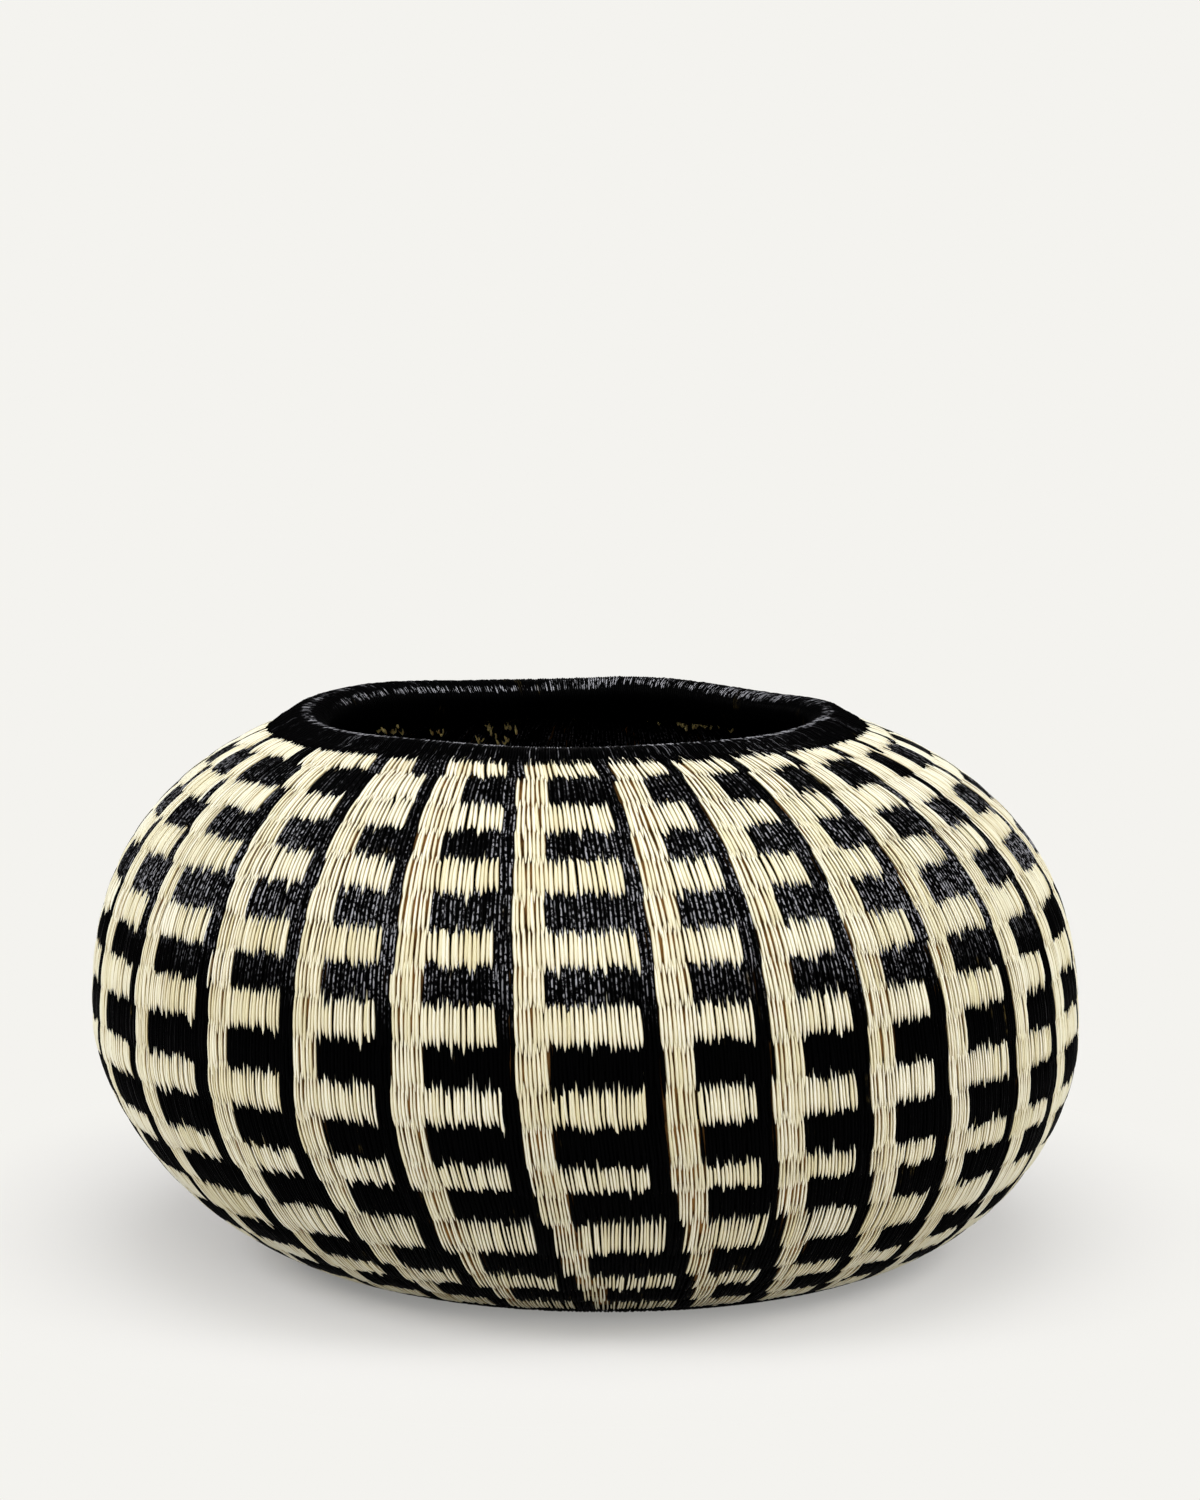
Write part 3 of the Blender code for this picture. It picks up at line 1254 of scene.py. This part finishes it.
@dataclass(frozen=True)
class PalmFoundation:
    """The bundle inside the coil, seen only through the slits: tan fibre, or dyed strands carried along."""

    slot: Slot = Slot.FOUNDATION
    tan: Colour = (0.30, 0.145, 0.042, 1.0)
    bark: Colour = (0.050, 0.021, 0.006, 1.0)
    dyed: Colour = (0.0005, 0.0005, 0.0005, 1.0)
    grain_noise: tuple[float, float, float] = (900.0, 2.0, 0.6)
    grain_share: float = 0.35
    patch_noise: tuple[float, float, float] = (120.0, 2.0, 0.5)
    patch_ends: tuple[float, float] = (0.40, 0.66)
    surface: Surface = Surface((0.72, 0.90), 0.04, 0.4, 0.0002, grain_ends=(0.2, 0.8))

    def paint(self, bench: NodeBench) -> Coat:
        """Lays out the nodes of the coil core.

        Args:
            bench: the bench of the material's nodes.

        Returns:
            The colour, the grain of the shine and the grain's height.
        """
        place = bench.place()
        grain = bench.noise(place, *self.grain_noise)
        patch = bench.spread(bench.noise(place, *self.patch_noise), *self.patch_ends)
        streaks = bench.times(grain, self.grain_share)
        fibre = bench.layered(self.tan, (patch, self.bark), (streaks, self.bark))
        return bench.blend(bench.reading("bared"), self.dyed, fibre), grain, grain


class Finishes:
    """The basket's three materials, by slot."""

    def __init__(self) -> None:
        """Makes the materials."""
        kinds = (NaturalPalm(), DyedPalm(), PalmFoundation())
        self.by_slot = {kind.slot: kind.surface.material(kind.slot, kind.paint) for kind in kinds}

    def dress(self, piece: bpy.types.Object, slot: Slot) -> None:
        """Gives a piece its material and slot, and sets it on the basket's body.

        Args:
            piece: the piece.
            slot: the record's material slot.
        """
        piece.data.materials.append(self.by_slot[slot])
        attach(piece, BODY)
        log.info("%s: %d faces, %s", piece.name, len(piece.data.polygons), slot.value)


@dataclass(frozen=True)
class Tufts:
    """The short natural ends that show inside: a few anywhere, and groups under the mouth's back edge.

    The groups are given as degrees round from the back, towards the photograph's left, and half widths.
    """

    glimpses: float = 0.05
    sectors: int = 64
    share: float = 0.75
    row: int = 1
    groups: Pairs = ((13.0, 4.0), (-1.0, 0.6), (-16.5, 1.6), (-27.4, 4.8), (37.0, 1.2), (26.0, 1.2))
    high: tuple[float, float] = (1.20, 1.75)
    length: tuple[float, float] = (0.12, 0.40)
    tilt: float = 0.0028
    width: float = 0.72
    tone: tuple[float, float] = (1.4, 2.0)
    rise: tuple[float, float] = (0.0, 0.0006)
    loft: tuple[float, float] = (0.0008, 0.0030)
    bow: float = 0.0006

    def shown(self, row: int, tops: np.ndarray, natural: np.ndarray, rng: np.random.Generator) -> np.ndarray:
        """Which strands of a round have an end that shows.

        Args:
            row: the round, counted down from the rim.
            tops: the turns where the strands go over the round's top.
            natural: whether each strand is natural outside.
            rng: the round's random numbers.

        Returns:
            Whether each strand's end shows.
        """
        sector = (tops % 1 * self.sectors).astype(int) % self.sectors
        shown = natural & (rng.random(self.sectors) < self.glimpses)[sector]
        if row == self.row:
            from_back = (tops % 1) * 360
            from_back = np.where(from_back > 180, from_back - 360, from_back)
            shown = np.any([np.abs(from_back - middle) < half for middle, half in self.groups], axis=0)
        return shown & (rng.random(len(tops)) < self.share)

    def trim(self, ends: Strands, coil: SpiralCoil, rng: np.random.Generator) -> None:
        """Shortens inside strands to loose ends.

        Args:
            ends: the strands to shorten.
            coil: the coil.
            rng: the round's random numbers.
        """
        count = len(ends.tips)
        ends.high = coil.edge(ends.tips - 1) + coil.pitch * rng.uniform(*self.high, count)
        ends.low = ends.high - coil.pitch * rng.uniform(*self.length, count)
        ends.tops = ends.tips + rng.normal(0, self.tilt, count)
        ends.width = ends.width * self.width
        ends.tone = rng.uniform(*self.tone, count)
        ends.sink = -rng.uniform(*self.rise, count)
        ends.loft = rng.uniform(*self.loft, count)
        ends.bow = rng.normal(0, self.bow, count)


@dataclass
class CoilRound:
    """One round of the coil: its fibre core and the strands over it, outside and inside.

    The section says how deep the core lies under the coil's skin, from its lower to its upper seam.
    """

    coil: SpiralCoil
    pattern: CombPattern
    sewing: Sewing
    tufts: Tufts
    number: int
    section: Pairs = ((0.0, 0.0019), (0.18, 0.0011), (0.5, 0.0008), (0.82, 0.0011), (1.0, 0.0019))
    segments: int = 360
    inside_width: tuple[float, float] = (0.92, 1.12)

    @property
    def name(self) -> str:
        """The CAD node that this round stands for."""
        base = self.coil.sizes.base_rounds
        return f"base_round_{self.number}" if self.number <= base else f"wall_round_{self.number - base:02d}"

    @property
    def row(self) -> int:
        """The round counted down from the rim."""
        return self.coil.sizes.rounds - self.number

    def core(self) -> bpy.types.Object:
        """The fibre bundle, closed at both ends where it runs on into the next round.

        Returns:
            The core, with the numbers that say where natural fibre is bared.
        """
        coil = self.coil
        turns = coil.turns_of(self.number, self.segments + 1)
        shares, depths = both_faces(self.section, coil.sizes.thickness)
        low, high = coil.edge(turns - 1), coil.edge(turns)
        length = low[:, None] + (high - low)[:, None] * shares[None]
        points = coil.place(turns[:, None] + 0 * length, length, depths[None] + 0 * length)
        piece = MeshMaker.solid(self.name + "_core", points.reshape(1, -1, 3), tube_faces(*length.shape))
        azimuth = (turns % 1 - 0.5) * 360
        _, spine = self.pattern.natural(self.row, azimuth, coil.outline.radius_at((low + high) / 2))
        MeshMaker.paint(piece, bared=np.repeat(spine.astype(float), len(shares)))
        return piece

    def build(self, finishes: Finishes, outer: StrandLayer, inner: StrandLayer) -> None:
        """Makes and dresses the round's pieces.

        Args:
            finishes: the basket's materials.
            outer: lays the outside strands.
            inner: lays the inside strands.
        """
        core = self.core()
        finishes.dress(core, Slot.FOUNDATION)
        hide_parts(self.name)
        strands, natural = self.sewing.strands(self.coil, self.number, self.pattern)
        inside, bare = self.inside_strands(strands, natural)
        for layer, made, is_natural, face, word in (
            (outer, strands, natural, Face.OUTSIDE, "outer"),
            (inner, inside, bare, Face.INSIDE, "inner"),
        ):
            for palm, chosen in ((Slot.NATURAL, is_natural), (Slot.DYED, ~is_natural)):
                if chosen.any():
                    name = f"{self.name}_{word}_{palm.name.lower()}_strands"
                    finishes.dress(layer.lay(name, made.pick(chosen), face), palm)

    def inside_strands(self, strands: Strands, natural: np.ndarray) -> tuple[Strands, np.ndarray]:
        """The strands' way down the inside: dyed palm all over, partly painted shade for the dark inside,
        with a few short natural ends on it.

        Args:
            strands: the outside strands.
            natural: whether each outside strand is natural.

        Returns:
            The inside strands and then the ends, and whether each is natural.
        """
        rng = np.random.default_rng((self.sewing.seed, 500 + self.number))
        count = len(strands.tips)
        # All inside strands are dyed: the dark inside is partly painted shade.
        inside = strands.pick(np.arange(count))
        inside.tips = np.append(strands.tips[1:], strands.tips[-1])
        inside.width = self.sewing.spacing_of(self.row) * rng.uniform(*self.inside_width, count)
        ends = inside.pick(self.tufts.shown(self.row, strands.tops, natural, rng))
        self.tufts.trim(ends, self.coil, rng)
        both = inside.joined(ends)
        return both, np.arange(len(both.tips)) >= count


@dataclass
class RimRoll:
    """The rolled rim: a thick bundle over-sewn with long dyed strands from the wall outside to inside.

    A stitch starts and ends beside the wall, at places given as length above the neck and depth, and
    goes over the roll through stations given in degrees round its section. The painted glints, grey
    dashes that stand in for highlights, are given at such degrees, for the front and for the back's
    left and right parts, which are told apart by a factor on the turn's cosine or sine and a share
    added to it. The humps are the rim's rise in millimetres at each share of the turn, and the waves
    are rises, waves a turn and phases.
    """

    coil: SpiralCoil
    spacing: float = 0.00086
    spacing_hand: float = 0.12
    width: tuple[float, float] = (0.95, 1.12)
    core_inset: float = 0.0010
    segments: int = 360
    sides: int = 16
    tip_hand: float = 0.0006
    tip_share: float = 0.1
    lean: float = 0.0030
    upright_at: float = 0.35
    thickness: float = 0.00070
    sink_hand: float = 0.00007
    start: Pairs = ((-0.0032, 0.0012), (-0.0024, 0.00035), (-0.0010, 0.00005), (0.0010, 0.00010))
    stations: tuple[int, ...] = (66, 88, 104, 112, 122, 132, 141, 149, 157, 165, 173, 183, 200, 240, 300)
    end: Pairs = ((0.0010, 0.0115), (-0.0012, 0.0100), (-0.0026, 0.0078))
    taper: Pairs = ((0, 0.12), (0.04, 0.5), (0.10, 0.8), (0.2, 1), (0.85, 1), (0.95, 0.6), (1, 0.12))
    section: tuple[int, ...] = (90, 18, -54, -126, 162)
    # Painted glints on the rim: a bright line along the front crest and grey dashes on the back's inner face,
    # where the lamps' highlights would fall.
    front_glints: Pairs = ((60, 0.26), (104, 0.26), (112, 1.9), (122, 2.2), (132, 0.2), (149, 0.0))
    left_glints: Pairs = ((60, 0.25), (104, 0.22), (141, 0.15), (149, 0.4), (157, 2.2), (165, 2.2), (173, 0.0))
    right_glints: Pairs = ((60, 0.25), (104, 0.30), (122, 0.9), (132, 1.5), (149, 1.5), (157, 0.6), (165, 0.0))
    behind: tuple[float, float] = (1.8, -0.25)
    ahead: tuple[float, float] = (-1.4, 0.35)
    to_left: tuple[float, float] = (2.2, 0.5)
    glint_groups: int = 150
    glint_hand: float = 0.65
    stitch_glints: tuple[float, float] = (0.4, 1.6)
    along_scale: float = 1.5
    humps: Pairs = (
        *((0.0, 1.2), (0.05, 1.6), (0.09, 2.3), (0.13, 3.3), (0.19, 3.5), (0.22, 3.0), (0.25, 1.4)),
        *((0.32, 0.2), (0.70, 0.3), (0.77, 1.8), (0.80, 2.0), (0.84, 0.6), (0.88, 1.0), (0.91, 2.5)),
        *((0.95, 3.0), (0.98, 2.0), (1.0, 1.2)),
    )
    hump_blur: tuple[float, ...] = (-0.02, -0.01, 0.0, 0.01, 0.02)
    waves: tuple[tuple[float, int, float], ...] = ((0.3, 3, 0.8), (0.2, 7, 2.1))
    hump_from: float = -0.001
    hump_by: float = 0.004
    seed: int = 41

    def oval(self, angle: np.ndarray, inset: float) -> tuple[np.ndarray, np.ndarray]:
        """Points on the roll's section.

        Args:
            angle: angles round the section, from the seat by the outside to the crest and down inside.
            inset: how far under the skin.

        Returns:
            Lengths above the neck, and depths.
        """
        sizes = self.coil.sizes
        share = sizes.rim_seat_share - (1 - sizes.rim_seat_share) * np.cos(angle)
        middle = sizes.rim_seat_share * sizes.rim_width
        length = middle + (share * sizes.rim_width - middle) * (1 - inset / (sizes.rim_width / 2))
        half = sizes.rim_thickness / 2
        return length, half - (half - inset) * np.sin(angle)

    def core(self) -> bpy.types.Object:
        """The bundle, seen in the slits between the strands.

        Returns:
            The core, with no natural fibre bared.
        """
        turns = self.coil.turns_of(self.coil.sizes.rounds + 1, self.segments + 1)
        angle = 2 * math.pi * (np.arange(self.sides) + 0.5) / self.sides
        above, depth = self.oval(angle, self.core_inset)
        low = self.coil.edge(turns - 1) - self.coil.neck
        length = self.coil.neck + np.maximum(above[None], low[:, None])
        points = self.coil.place(turns[:, None] + 0 * length, length, depth[None] + 0 * length)
        points[..., 2] += self.hump(turns, above)
        piece = MeshMaker.solid("rim_roll_core", points.reshape(1, -1, 3), tube_faces(*length.shape))
        MeshMaker.paint(piece, bared=np.zeros(length.size))
        return piece

    def hump(self, turn: np.ndarray, above: np.ndarray) -> np.ndarray:
        """How far the hand-rolled rim rises over its even height.

        Args:
            turn: turns of the coil.
            above: lengths above the neck, where the rise sets in.

        Returns:
            The rise at each turn and length, in metres.
        """
        place = turn % 1
        rises = [np.interp((place + step) % 1, *zip(*self.humps)) for step in self.hump_blur]
        waves = [rise * np.sin(2 * math.pi * many * place + phase) for rise, many, phase in self.waves]
        even = sum(rises) / len(rises) + sum(waves)
        return 0.001 * even[:, None] * ramp(above, self.hump_from, self.hump_by)[None]

    def path(self) -> tuple[np.ndarray, np.ndarray, np.ndarray]:
        """The way of one over-stitch in the section.

        Returns:
            Lengths above the neck, depths, and the degrees round the section at each station.
        """
        over = np.stack(self.oval(np.radians(self.stations), 0.0), axis=1)
        above, deep = np.concatenate([self.start, over, self.end]).T
        first, last = self.stations[0], self.stations[-1]
        degrees = [first] * len(self.start) + [*self.stations] + [last] * len(self.end)
        return above, deep, np.array(degrees)

    def wear_of(self, turns: np.ndarray, degrees: np.ndarray) -> np.ndarray:
        """How bright each stitch's painted glints are at each station: at the crest in front, lower behind on
        the left.

        Args:
            turns: the stitches' turns.
            degrees: the stations' degrees round the section.

        Returns:
            The painted glint strength, a row for each stitch.
        """
        around = 2 * math.pi * turns
        behind = np.clip(self.behind[0] * np.cos(around) + self.behind[1], 0, 1)
        ahead = np.clip(self.ahead[0] * np.cos(around) + self.ahead[1], self.ahead[1], 1) * (1 - behind)
        left = np.clip(self.to_left[0] * np.sin(around) + self.to_left[1], 0, 1)
        parts = (
            (ahead, self.front_glints),
            (behind * left, self.left_glints),
            (behind * (1 - left), self.right_glints),
        )
        even = sum(share[:, None] * np.interp(degrees, *zip(*painted_glint)) for share, painted_glint in parts)
        rng = np.random.default_rng((self.seed, 1))
        groups = rng.uniform(1 - self.glint_hand, 1 + self.glint_hand, self.glint_groups + 1)
        group = np.interp(turns % 1 * self.glint_groups, np.arange(self.glint_groups + 1), groups)
        return even * (group * rng.uniform(*self.stitch_glints, len(turns)))[:, None]

    def strands(self) -> bpy.types.Object:
        """All the over-stitches of the rim as one piece.

        Returns:
            The piece, with the numbers that its material reads.
        """
        coil = self.coil
        rng = np.random.default_rng(self.seed)
        count = round(2 * math.pi * coil.sizes.neck_radius / self.spacing)
        hand = rng.uniform(-self.spacing_hand, self.spacing_hand, count)
        turns = coil.sizes.rounds + (np.arange(count) + 0.5 + hand) / count
        above, deep, degrees = self.path()
        steps = np.concatenate([[0.0], np.cumsum(np.hypot(np.diff(above), np.diff(deep)))])
        along = steps / steps[-1]
        wide = np.interp(along, *zip(*self.taper))
        slope = np.stack([np.gradient(above, steps), np.gradient(deep, steps)])
        slope = slope / np.linalg.norm(slope, axis=0)
        ring = np.radians(self.section)
        across, rise = np.cos(ring) * 0.5, np.sin(ring)
        sunk = (rise - rise.max()) / np.ptp(rise) * self.thickness * np.sqrt(wide)[:, None]
        width = self.spacing * rng.uniform(*self.width, count)
        sink = rng.normal(0, self.sink_hand, count)
        drop = rng.normal(0, self.tip_hand, count)
        length = coil.neck + above[:, None] + slope[1][:, None] * sunk
        length = length - drop[:, None, None] * ramp(along, self.tip_share, 0)[:, None]
        depth = deep[:, None] - slope[0][:, None] * sunk + sink[:, None, None]
        around = coil.outline.radius_at(length) - depth * 0.5
        slant = (self.lean * (self.upright_at - along))[:, None]
        sideways = across * wide[:, None] * width[:, None, None] + slant
        points = coil.place(turns[:, None, None] + sideways / (2 * math.pi * around), length, depth)
        points[..., 2] += self.hump(turns, above)[..., None]
        faces = tube_faces(len(along), len(ring))
        piece = MeshMaker.solid("rim_roll_strands", points.reshape(count, -1, 3), faces)
        each = len(along) * len(ring)
        MeshMaker.paint(
            piece,
            along=np.tile(np.repeat(along * self.along_scale, len(ring)), count),
            across=np.tile(0.5 + across, len(along) * count),
            tone=np.repeat(np.clip(rng.normal(0.5, 0.2, count), 0, 1), each),
            lot=np.repeat(rng.random(count), each),
            painted_glint=np.repeat(self.wear_of(turns, degrees), len(ring)),
        )
        return piece

    def build(self, finishes: Finishes) -> None:
        """Makes and dresses the rim's pieces.

        Args:
            finishes: the basket's materials.
        """
        core = self.core()
        finishes.dress(core, Slot.FOUNDATION)
        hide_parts("rim_roll")
        finishes.dress(self.strands(), Slot.DYED)


@dataclass
class StartKnot:
    """The button that the coil starts from: two rings of strands drawn through a small bundle.

    Each ring is a word, its strands, its start and end as lengths from the middle, and its first turn.
    """

    coil: SpiralCoil
    section: Pairs = ((0.0, 0.0010), (0.55, 0.0010), (0.90, 0.0012), (1.0, 0.0022))
    rings: tuple[tuple[str, int, float, float, float], ...] = (
        ("centre", 13, 0.0004, 0.00495, 0.2),
        ("edge", 30, 0.00378, 0.00918, 0.6),
    )
    sides: int = 40
    bared: float = 0.6
    hand: float = 0.1
    lean: float = 0.25
    reach: tuple[float, float] = (0.97, 1.02)
    snugness: float = 1.05
    sink: tuple[float, float] = (0.0001, 0.00005)
    roll: float = 0.1
    tone: tuple[float, float] = (0.2, 0.9)
    seed: int = 77

    def core(self) -> bpy.types.Object:
        """The bundle under the strands, a low button with rounded edges.

        Returns:
            The core, with the number that says how much natural fibre is bared.
        """
        shares, depths = both_faces(self.section, self.coil.sizes.thickness)
        turns = np.arange(self.sides) / self.sides
        poles = self.coil.place(np.zeros(2), np.zeros(2), depths[[0, -1]])
        lengths = np.repeat(shares[1:-1] * self.coil.sizes.knot_radius, self.sides)
        rings = self.coil.place(np.tile(turns, len(shares) - 2), lengths, np.repeat(depths[1:-1], self.sides))
        points = np.concatenate([poles[:1], rings, poles[1:]])
        sides, last = self.sides, len(points) - 1
        faces = []
        for side in range(sides):
            ahead = (side + 1) % sides
            faces.append([0, 1 + side, 1 + ahead])
            for here in range(1, last - sides, sides):
                faces.append([here + side, here + sides + side, here + sides + ahead, here + ahead])
            faces.append([last - sides + side, last, last - sides + ahead])
        piece = MeshMaker.solid("start_knot_core", points[None], faces)
        MeshMaker.paint(piece, bared=np.full(len(points), self.bared))
        return piece

    def ring(self, count: int, low: float, high: float, first: float) -> Strands:
        """A ring of strands round the knot's middle.

        Args:
            count: strands in the ring.
            low: where they start, as length from the middle.
            high: where they end.
            first: the first strand's turn.

        Returns:
            The strands.
        """
        rng = np.random.default_rng((self.seed, count))
        tops = (np.arange(count) + first + rng.uniform(-self.hand, self.hand, count)) / count
        return Strands(
            tips=tops - self.lean / count,
            tops=tops,
            low=np.full(count, low),
            high=high * rng.uniform(*self.reach, count),
            width=np.full(count, math.pi * (low + high) / count * self.snugness),
            sink=rng.normal(*self.sink, count),
            roll=rng.normal(0, self.roll, count),
            bow=np.zeros(count),
            loft=np.zeros(count),
            tone=rng.uniform(*self.tone, count),
            lot=rng.random(count),
        )

    def build(self, finishes: Finishes, outer: StrandLayer, inner: StrandLayer) -> None:
        """Makes and dresses the knot's pieces.

        Args:
            finishes: the basket's materials.
            outer: lays the outside strands.
            inner: lays the inside strands.
        """
        core = self.core()
        finishes.dress(core, Slot.FOUNDATION)
        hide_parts("start_knot")
        for layer, face, word in ((outer, Face.OUTSIDE, "outer"), (inner, Face.INSIDE, "inner")):
            for ring_word, *ring in self.rings:
                piece = layer.lay(f"start_knot_{word}_{ring_word}_strands", self.ring(*ring), face)
                finishes.dress(piece, Slot.DYED)


@dataclass(frozen=True)
class Lamp:
    """A square soft light: its place, its side in metres and its power in watts."""

    name: str
    place: tuple[float, float, float]
    size: float
    power: float

    def hang(self, target: Vector) -> None:
        """Hangs the light.

        Args:
            target: the place that it is turned to.
        """
        light = bpy.data.lights.new(self.name, "AREA")
        light.shape = "SQUARE"
        light.size = self.size
        light.energy = self.power
        lamp = bpy.data.objects.new(self.name, light)
        lamp.location = self.place
        lamp.rotation_euler = (target - Vector(self.place)).to_track_quat("-Z", "Y").to_euler()
        bpy.context.scene.collection.objects.link(lamp)


@dataclass(frozen=True)
class Studio:
    """The pale floor and backdrop, the soft lights and the camera.

    The lit paper shows near the basket and fades to the even paper between the two reaches, on an oval
    round the shade's middle. Distances are in metres and angles in degrees.
    """

    paper: Colour = (0.905, 0.896, 0.863, 1.0)
    floor_colour: Colour = (0.76, 0.75, 0.755, 1.0)
    floor_roughness: float = 0.9
    floor_gloss: float = 0.1
    shade_middle: tuple[float, float, float] = (-0.005, 0.045, 0.0)
    shade_narrowing: tuple[float, float, float] = (1.13, 1.0, 1.0)
    lit_reach: float = 0.108
    fade_reach: float = 0.250
    least_even: float = 0.25
    floor_half: float = 6.0
    sky_colour: Colour = (1.0, 1.0, 1.0, 1.0)
    world_strength: float = 0.24
    lamps: tuple[Lamp, ...] = (
        Lamp("left_light", (-1.66, -0.62, 1.42), 0.9, 26.6),
        Lamp("right_light", (1.60, -0.62, 1.38), 0.9, 22.6),
        Lamp("front_light", (0.10, -1.62, 0.72), 0.6, 4.8),
        Lamp("top_light", (0.05, -0.30, 1.9), 1.2, 12.0),
    )
    distance: float = 1.35
    elevation: float = 10.47
    pitch_down: float = 7.36
    side_step: float = 0.0043
    target_height: float = 0.0793
    lens: float = 105.8
    sensor: float = 36.0
    farthest: float = 50.0

    def paper_material(self, name: str, near_basket: bool) -> bpy.types.Material:
        """Plain paper: a pale matt surface to the light, and one even colour to the camera.

        Args:
            name: the material's name.
            near_basket: whether it takes the basket's soft shadow, and fades to even colour farther off.

        Returns:
            The material.
        """
        made, bench, shader = new_material(name)
        shader.inputs["Base Color"].default_value = self.floor_colour
        shader.inputs["Roughness"].default_value = self.floor_roughness
        shader.inputs["Specular IOR Level"].default_value = self.floor_gloss
        even = bench.add("ShaderNodeEmission")
        even.inputs["Color"].default_value = self.paper
        share = self.fade(bench) if near_basket else 1.0
        output = bench.tree.nodes["Material Output"].inputs[0]
        bench.shown_to_camera(share, shader.outputs[0], even.outputs[0], output)
        return made

    def fade(self, bench: NodeBench) -> bpy.types.NodeSocket:
        """How far the paper has faded to its even colour, from the basket outwards.

        Args:
            bench: the bench of the paper's nodes.

        Returns:
            The share of even colour, from the least near the basket to 1.
        """
        oval = bench.add("ShaderNodeVectorMath", operation="MULTIPLY")
        reach = bench.add("ShaderNodeVectorMath", operation="DISTANCE")
        middle = [place * wide for place, wide in zip(self.shade_middle, self.shade_narrowing)]
        bench.joined(reach, bench.joined(oval, bench.place(), self.shade_narrowing), middle)
        return bench.spread(reach.outputs["Value"], self.lit_reach, self.fade_reach, self.least_even, 1.0)

    def build_room(self) -> None:
        """Lays the floor and stands the backdrop behind it."""
        for name, half, behind, tilt in (
            ("studio_floor", self.floor_half, 0.0, 0.0),
            ("studio_backdrop", 2 * self.floor_half, self.floor_half, math.pi / 2),
        ):
            bpy.ops.object.select_all(action="DESELECT")
            bpy.ops.mesh.primitive_plane_add(size=2 * half, location=(0, behind, 0), rotation=(tilt, 0, 0))
            sheet = bpy.context.active_object
            sheet.name = name
            sheet.data.materials.append(self.paper_material(name, near_basket=behind == 0))

    def light(self) -> None:
        """Sets up the sky, which shows the camera the paper's colour, and hangs the lamps."""
        world = bpy.data.worlds.new("studio_sky")
        world.use_nodes = True
        bench = NodeBench(world.node_tree)
        sky = world.node_tree.nodes["Background"]
        sky.inputs["Color"].default_value = self.sky_colour
        sky.inputs["Strength"].default_value = self.world_strength
        seen = bench.add("ShaderNodeBackground")
        seen.inputs["Color"].default_value = self.paper
        output = world.node_tree.nodes["World Output"].inputs[0]
        bench.shown_to_camera(1.0, sky.outputs[0], seen.outputs[0], output)
        bpy.context.scene.world = world
        for lamp in self.lamps:
            lamp.hang(Vector((0, 0, self.target_height)))

    def stand_camera(self) -> None:
        """Stands the camera at the photograph's angle."""
        data = bpy.data.cameras.new("camera")
        data.lens = self.lens
        data.sensor_width = self.sensor
        data.clip_end = self.farthest
        camera = bpy.data.objects.new("camera", data)
        rise = math.radians(self.elevation)
        back, up = self.distance * math.cos(rise), self.distance * math.sin(rise)
        camera.location = (self.side_step, -back, self.target_height + up)
        camera.rotation_euler = (math.radians(90 - self.pitch_down), 0, 0)
        bpy.context.scene.collection.objects.link(camera)
        bpy.context.scene.camera = camera

    def build(self) -> None:
        """Sets up the whole studio."""
        self.build_room()
        self.light()
        self.stand_camera()
        bpy.context.scene.view_settings.view_transform = "Standard"


def main() -> None:
    """Builds the basket's pieces in order, then the studio."""
    logging.basicConfig(level=logging.INFO, format="%(name)s: %(message)s")
    coil = SpiralCoil(CoilSizes(), SeamDrift())
    pattern, sewing, tufts = CombPattern(), Sewing(), Tufts()
    finishes = Finishes()
    outer = StrandLayer(coil, OUTER_SLIVER.model())
    inner = StrandLayer(coil, INNER_SLIVER.model())
    StartKnot(coil).build(finishes, outer, inner)
    for number in range(1, coil.sizes.rounds + 1):
        CoilRound(coil, pattern, sewing, tufts, number).build(finishes, outer, inner)
    RimRoll(coil).build(finishes)
    Studio().build()


if __name__ == "__main__":
    main()
